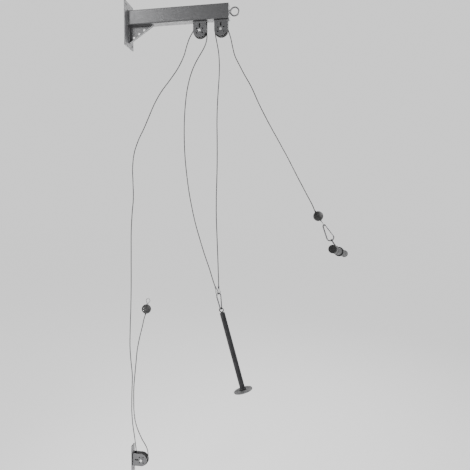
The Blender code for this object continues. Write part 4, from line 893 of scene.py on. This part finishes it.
def clip_tongue(place, start, hinge):
    """Flat end of the body, from the wire's start to round the hinge."""
    towards = (hinge - start).normalized()
    turn = math.degrees(math.atan2(towards.y, towards.x))
    sideways = Vector((-towards.y, towards.x)) * TONGUE_RADIUS
    root = start - towards * TONGUE_ROOT
    outline = [root - sideways] + arc(hinge, TONGUE_RADIUS, turn - 90, turn + 90, 14)
    outline.append(root + sideways)
    shape = bmesh.new()
    face = shape.faces.new([shape.verts.new((*spot, -TONGUE / 2)) for spot in outline])
    raised = bmesh.ops.extrude_face_region(shape, geom=[face])["geom"]
    bmesh.ops.translate(shape, vec=(0, 0, TONGUE),
                        verts=[v for v in raised if isinstance(v, bmesh.types.BMVert)])
    return round_edges(moved(tidied(shape), place), 0.0003)


def clip_gate(place, hinge, line, length):
    """Turned gate that is slotted for the tongue, with its rivet."""
    hinge = place @ hinge.to_3d()
    line = place.to_3x3() @ line.to_3d()
    across = place.to_3x3() @ Z
    gate_place = place_of(hinge, line, across)
    profile = [(0, length), (GATE_RADIUS, length), (GATE_RADIUS, 0)]
    profile += arc((0, 0), GATE_RADIUS, -8, -82, 9) + [(0, -GATE_RADIUS)]
    shape = round_edges(spun(profile, gate_place, 32), 0.0003, math.radians(50))
    slot = bmesh.new()
    bmesh.ops.create_cube(slot, size=1)
    top = TONGUE_RADIUS + 0.001
    foot = -GATE_RADIUS - 0.002
    bmesh.ops.scale(slot, vec=(GATE_SLOT, 0.02, top - foot), verts=slot.verts)
    moved(slot, gate_place @ Matrix.Translation(Z * (top + foot) / 2))
    shape = cut_out(shape, [slot])
    proud = GATE_RADIUS + RIVET_PROUD
    profile = mirrored([(0, proud), (RIVET_HEAD * 0.7, proud), (RIVET_HEAD, proud - 0.0004),
                        (RIVET_RADIUS, GATE_RADIUS - 0.0004)])
    join_shapes(shape, spun(profile, place_of(hinge, across, line), 24))
    return shape


def make_clip(tag, place):
    """Body and gate of a clip that lies in its place's XY plane."""
    lean = math.asin((CLIP_WIDE - CLIP_NARROW) / (CLIP_SPAN - CLIP_NARROW - CLIP_WIDE))
    tilt = math.degrees(lean)
    wide_middle = CLIP_SPAN - CLIP_WIDE
    hinge = Vector((CLIP_NARROW * math.cos(lean), CLIP_NARROW * (1 - math.sin(lean))))
    latch = Vector((CLIP_WIDE * math.cos(lean), wide_middle - CLIP_WIDE * math.sin(lean)))
    line = (latch - hinge).normalized()
    nose = latch - line * 0.0006
    first = -tilt - math.degrees(math.asin((GATE_RADIUS + 0.0009) / CLIP_NARROW))
    outline = arc((0, CLIP_NARROW), CLIP_NARROW, first, tilt - 180, 32)
    outline += arc((0, wide_middle), CLIP_WIDE, 180 + tilt, -tilt, 40) + [nose]
    shape = wire_shape([place @ Vector((*spot, 0)) for spot in outline], CLIP_WIRE, 20)
    join_shapes(shape, clip_tongue(place, Vector(outline[0]), hinge))
    dress(tag + "_body", "bent", shape, CLIP_STEEL)
    shape = clip_gate(place, hinge, line, (nose - hinge).length - SEAT_GAP)
    dress(tag + "_gate", "turned", shape, CLIP_STEEL)


PIN_CLIP_LINE = unit(0.184, 0, -0.983)
PIN_CLIP_FOOT = PIN_CLIP_TOP + PIN_CLIP_LINE * CLIP_SPAN
BAR_CLIP_LINE = unit(0.460, 0, -0.888)
WIRE_IN_EYE = FERRULE_LENGTH + EYE_LENGTH - EYE_WIRE - CLIP_WIRE / 2 - LINK_PLAY
BAR_CLIP_TOP = BAR_END_START + BAR_BALL_LINE * WIRE_IN_EYE
make_clip("pin_clip", clip_place(PIN_CLIP_FOOT, -PIN_CLIP_LINE, unit(0.4226, 0.9063, 0)))
make_clip("bar_clip", clip_place(BAR_CLIP_TOP, BAR_CLIP_LINE, Y.cross(-BAR_CLIP_LINE)))


# Loading pin. A solid steel pin that carries weight plates, with a screwed-in eye, a collar and a
# base disc held by a screw, powder coated charcoal. The disc is paler, and plates have rubbed the
# shaft lengthways.

PIN_LINE = unit(0.2646, 0, -0.9644)
PIN_EYE_AXIS = unit(0.1736, 0.9848, 0)
PIN_EYE_RADIUS = 0.0108
PIN_EYE_WIRE = 0.0054
RING_PLAY = 0.0006
PIN_RADIUS = 0.0135
PIN_LENGTH = 0.414
PIN_COLLAR = 0.017
PIN_COLLAR_HEIGHT = 0.010
PIN_BASE = 0.0495
PIN_BASE_THICKNESS = 0.006
PIN_STEM = 0.005
PIN_STEM_LENGTH = 0.014
PIN_SCREW_WAY = 0.0043
PIN_EYE_CENTRE = PIN_CLIP_FOOT + PIN_LINE * (PIN_EYE_RADIUS - PIN_EYE_WIRE / 2 - CLIP_WIRE / 2
                                             - RING_PLAY)


def rubbed_finish(name):
    """Charcoal coat with pale lengthways rub marks. Its streaks follow the unrolled UV map."""
    coat = Finish(name, 900, 30)
    uv = coat.add("UVMap", {}, uv_map="unrolled")["UV"]
    streak = coat.noise(coat.add("Mapping", {"Vector": uv, "Scale": (900, 22, 1)})[0], 1, 3)
    rubbed = coat.times(coat.stretch(streak, 0.52, 0.74), 0.5)
    colour = coat.mix(coat.mottle, grey(0.011, 0.012), grey(0.020, 0.022))
    # The mask adds the paler rounded edges, wear and painted highlight, to the rub marks.
    mask = coat.work_out("MAXIMUM", rubbed, coat.wear_and_highlight(0.6))
    colour = coat.mix(mask, colour, grey(0.09, 0.093))
    matt = coat.stretch(rubbed, 0, 0.5, 0.40, 0.26)
    return coat.close(colour, matt, coat.height, 0.15, 0.0005, specular=0.2)


DARK_COAT = coat_finish("dark_powder_coat", grey(0.012, 0.013), grey(0.022, 0.024),
                        grey(0.12, 0.123), 0.45, 0.0, bump=0.15, specular=0.3)
RUBBED_COAT = rubbed_finish("charcoal_coat_rubbed")
BASE_COAT = coat_finish("charcoal_coat_on_disc", grey(0.045, 0.047), grey(0.130, 0.133),
                        grey(0.15, 0.153), 0.55, 0.0, mottle_scale=60)
pin_place = place_of(PIN_EYE_CENTRE, PIN_LINE, Y)
eye_end = PIN_EYE_RADIUS + PIN_EYE_WIRE / 2
pin_top = eye_end + SEAT_GAP
pin_bottom = pin_top + PIN_LENGTH
disc_top = pin_bottom + SEAT_GAP
disc_end = disc_top + PIN_BASE_THICKNESS
stem_end = eye_end + PIN_STEM_LENGTH
profile = [(0, stem_end), (PIN_STEM, stem_end), (PIN_STEM, eye_end - 0.001),
           (PIN_STEM - 0.001, PIN_EYE_RADIUS), (0, PIN_EYE_RADIUS)]
shape = spun(profile, place_of(PIN_EYE_CENTRE, PIN_LINE, PIN_EYE_AXIS), 32)
add_torus(shape, PIN_EYE_RADIUS, PIN_EYE_WIRE, place_of(PIN_EYE_CENTRE, PIN_EYE_AXIS, PIN_LINE),
          56)
dress("load_pin_eye", "forged", shape, DARK_COAT)

stem_way = PIN_STEM + SEAT_GAP
stem_floor = pin_top + 0.015
screw_floor = pin_bottom - 0.022
profile = [(0, screw_floor), (PIN_SCREW_WAY, screw_floor), (PIN_SCREW_WAY, pin_bottom),
           (PIN_RADIUS, pin_bottom), (PIN_RADIUS, pin_top + 0.002), (PIN_RADIUS - 0.002, pin_top),
           (stem_way, pin_top), (stem_way, stem_floor), (0, stem_floor)]
dress("load_pin_shaft", "coated", spun(profile, pin_place, 56, rounding=0.0004), RUBBED_COAT)

high = pin_bottom - PIN_COLLAR_HEIGHT
collar_bore = PIN_RADIUS + SEAT_GAP
profile = [(collar_bore, pin_bottom), (PIN_COLLAR, pin_bottom), (PIN_COLLAR, high + 0.0015),
           (PIN_COLLAR - 0.0015, high), (collar_bore, high)]
dress("load_pin_collar", "coated", spun(profile, pin_place, 56, True, 0.0005), DARK_COAT)

sink = 0.0041
profile = [(PIN_SCREW_WAY, disc_end - sink), (PIN_SCREW_WAY + sink, disc_end),
           (PIN_BASE - 0.001, disc_end), (PIN_BASE, disc_end - 0.001),
           (PIN_BASE, disc_top + 0.001), (PIN_BASE - 0.001, disc_top), (PIN_SCREW_WAY, disc_top)]
dress("load_pin_base", "coated", spun(profile, pin_place, 72, True, 0.0005), BASE_COAT)


# Pull bar. A knurled steel tube with rubber end caps and two narrow steel rings. A coated hub in
# its middle carries the eye that hangs in the clip.

BAR_AXIS = unit(0.1657, 0.9787, -0.1213)
BAR_HANG_LINE = Vector((0.555, 0, -0.832))
BAR_HANG_LINE = (BAR_HANG_LINE - BAR_AXIS * BAR_HANG_LINE.dot(BAR_AXIS)).normalized()
BAR_CLIP_FOOT = BAR_CLIP_TOP + BAR_CLIP_LINE * CLIP_SPAN
BAR_HANG = 0.0655
BAR_CENTRE = BAR_CLIP_FOOT + BAR_HANG_LINE * BAR_HANG
BAR_LENGTH = 0.490
BAR_RADIUS = 0.0175
BAR_WALL = 0.002
BAR_CAP = 0.0193
BAR_CAP_FACE = 0.008
BAR_CAP_PLUG = 0.014
BAR_COLLAR = 0.0184
BAR_COLLAR_WIDTH = 0.010
BAR_COLLAR_OFFSET = 0.150
BAR_HUB = 0.0235
BAR_HUB_WIDTH = 0.026
BAR_BOSS = 0.009
BAR_BOSS_HEIGHT = 0.030
BAR_BOSS_FOOT = 0.021
BAR_EYE_RADIUS = 0.0145
BAR_EYE_WIRE = 0.0050
BAR_STEM = 0.004
KNURLS = 84


def knurled_finish(name):
    """Diamond knurling on dull steel, cut along both diagonals of the unrolled UV map."""
    steel = Finish(name, 500, 110)
    split = steel.add("SeparateXYZ", {0: steel.add("UVMap", {}, uv_map="unrolled")["UV"]})
    across, along = (steel.times(split[axis], KNURLS / (2 * BAR_RADIUS))
                     for axis in "XY")
    ridges = []
    for operation in ("ADD", "SUBTRACT"):
        wave = steel.work_out("SINE", steel.work_out(operation, across, along))
        ridges.append(steel.work_out("ABSOLUTE", wave))
    peak = steel.work_out("MINIMUM", *ridges)
    colour = steel.mix(steel.mottle, grey(0.022, 0.023), grey(0.046, 0.048))
    # Painted shade darkens the grooves between the diamonds.
    colour = steel.mix(steel.stretch(peak, 0.0, 0.35, 0.7, 0.0), colour, grey(0.015))
    matt = steel.stretch(steel.grain, 0, 1, 0.34, 0.52)
    return steel.close(colour, matt, peak, 0.7, 0.0006, 0.35, 0.4)


KNURLED = knurled_finish("knurled_bar_steel")
DULL_STEEL = metal_finish("dulled_ring_steel", grey(0.07, 0.072), grey(0.13, 0.133), 0.45, 900, 0.2)
bar_place = place_of(BAR_CENTRE, BAR_AXIS, BAR_HANG_LINE)
half = BAR_LENGTH / 2
inside = BAR_RADIUS - BAR_WALL
hug = BAR_RADIUS + SEAT_GAP
profile = mirrored([(inside, half), (BAR_RADIUS, half)])
dress("bar_tube", "knurled", spun(profile, bar_place, 56, True, 0.0004), KNURLED)

for side, tag in ((-1, "near"), (1, "far")):
    cap_place = place_of(BAR_CENTRE + BAR_AXIS * (side * (half + SEAT_GAP)), BAR_AXIS * side,
                         BAR_HANG_LINE)
    plug = inside - SEAT_GAP
    profile = [(0, BAR_CAP_FACE), (BAR_CAP - 0.003, BAR_CAP_FACE - 0.001)]
    profile += arc((BAR_CAP - 0.003, BAR_CAP_FACE - 0.004), 0.003, 80, 5, 8)
    profile += [(BAR_CAP, 0), (plug, 0), (plug, -BAR_CAP_PLUG), (0, -BAR_CAP_PLUG)]
    cap = spun(profile, cap_place, 56, rounding=0.0004)
    dress("bar_" + tag + "_end_cap", "moulded", cap, RUBBER)
    ring_place = bar_place @ Matrix.Translation(Z * side * BAR_COLLAR_OFFSET)
    profile = mirrored([(hug, BAR_COLLAR_WIDTH / 2), (BAR_COLLAR, BAR_COLLAR_WIDTH / 2)])
    dress("bar_" + tag + "_collar", "turned", spun(profile, ring_place, 56, True, 0.0005),
          DULL_STEEL)

wide = BAR_HUB_WIDTH / 2
profile = mirrored([(hug, wide), (BAR_HUB - 0.002, wide), (BAR_HUB, wide - 0.002)])
shape = spun(profile, bar_place, 56, True, 0.0005)
stem_way = BAR_STEM + SEAT_GAP
stem_floor = BAR_BOSS_HEIGHT - 0.0053
profile = [(0, stem_floor), (stem_way, stem_floor), (stem_way, BAR_BOSS_HEIGHT),
           (BAR_BOSS - 0.001, BAR_BOSS_HEIGHT), (BAR_BOSS, BAR_BOSS_HEIGHT - 0.001),
           (BAR_BOSS, BAR_BOSS_FOOT), (0, BAR_BOSS_FOOT)]
boss_place = place_of(BAR_CENTRE, -BAR_HANG_LINE, BAR_AXIS)
join_shapes(shape, spun(profile, boss_place, 40, rounding=0.0004))
dress("bar_hub", "coated", shape, DARK_COAT)

BAR_EYE_CENTRE = BAR_CLIP_FOOT + BAR_HANG_LINE * (BAR_EYE_RADIUS - BAR_EYE_WIRE / 2
                                                  - CLIP_WIRE / 2 - RING_PLAY)
ring_end = BAR_EYE_RADIUS + BAR_EYE_WIRE / 2
stem_end = (BAR_CENTRE - BAR_EYE_CENTRE).length - BAR_BOSS_HEIGHT + 0.005
profile = [(0, stem_end), (BAR_STEM, stem_end), (BAR_STEM, ring_end),
           (BAR_STEM - 0.001, BAR_EYE_RADIUS), (0, BAR_EYE_RADIUS)]
shape = spun(profile, place_of(BAR_EYE_CENTRE, BAR_HANG_LINE, BAR_AXIS), 32)
add_torus(shape, BAR_EYE_RADIUS, BAR_EYE_WIRE,
          place_of(BAR_EYE_CENTRE, BAR_HANG_LINE.cross(BAR_AXIS), BAR_HANG_LINE), 56)
dress("bar_eye", "forged", shape, DARK_COAT)


# Studio. A pale backdrop all round, a pale floor well below the low pulley, and soft panels from
# the wall's side, the right, behind and below.

FLOOR_HEIGHT = -2.62
FLOOR_HALF_SIZE = 60
BACKDROP_SEEN = 1.1
BACKDROP_LIGHT = 0.45
WHITE = grey(1)


def new_panel(name, place, target, size, power, spread=180):
    """Soft panel that the camera doesn't see, with its size in metres and its power in watts."""
    lamp = link(name, bpy.data.lights.new(name, "AREA"))
    lamp.data.spread = math.radians(spread)
    lamp.data.shape = "RECTANGLE"
    lamp.data.size, lamp.data.size_y = size
    lamp.data.energy = power
    lamp.location = place
    lamp.visible_camera = False
    lamp.rotation_euler = (Vector(target) - Vector(place)).to_track_quat("-Z", "Y").to_euler()


world = bpy.data.worlds.new("white_backdrop")
bpy.context.scene.world = world
world.use_nodes = True
sky = Graph(world.node_tree)
seen = sky.tree.nodes["Background"]
sky.feed(seen, {"Color": WHITE, "Strength": BACKDROP_SEEN})
light = sky.add("Background", {"Color": WHITE, "Strength": BACKDROP_LIGHT})[0]
to_camera = sky.add("LightPath", {})["Is Camera Ray"]
chosen = sky.add("MixShader", {0: to_camera, 1: light, 2: seen.outputs[0]})[0]
sky.feed(sky.tree.nodes["World Output"], {"Surface": chosen})

floor_shape = bmesh.new()
bmesh.ops.create_grid(floor_shape, x_segments=1, y_segments=1, size=FLOOR_HALF_SIZE)
floor = link("floor", mesh_of("floor", moved(floor_shape, Matrix.Translation(Z * FLOOR_HEIGHT))))
floor_finish = bpy.data.materials.new("pale_floor")
floor_finish.use_nodes = True
Graph(floor_finish.node_tree).feed(floor_finish.node_tree.nodes["Principled BSDF"], {
    "Base Color": grey(0.5), "Roughness": 0.9, "Emission Color": WHITE, "Emission Strength": 0.85})
floor.data.materials.append(floor_finish)

new_panel("arm_root_panel", (-0.25, -0.5, 0.3), (-0.2, 0, 0), (0.3, 0.3), 2.2)
new_panel("wall_side_panel", (-0.8, -1.7, 0.8), (-0.75, 0, 0.05), (0.7, 0.7), 10, 80)
new_panel("low_side_panel", (-1.1, -2.2, -1.5), (0, 0, -2.25), (0.8, 0.8), 16, 60)
new_panel("right_panel", (2.6, -0.2, 0.15), (0, 0, 0), (1.0, 1.0), 95)
new_panel("low_right_panel", (1.3, 0.4, -2.42), (0, 0, -2.29), (0.3, 0.2), 1.7, 30)
new_panel("back_right_panel", (1.9, 2.6, 1.1), (0.1, 0, -0.1), (1.8, 1.8), 58)
new_panel("under_arm_panel", (0.1, 1.3, -0.75), (0.3, 0, 0), (1.6, 0.5), 23)
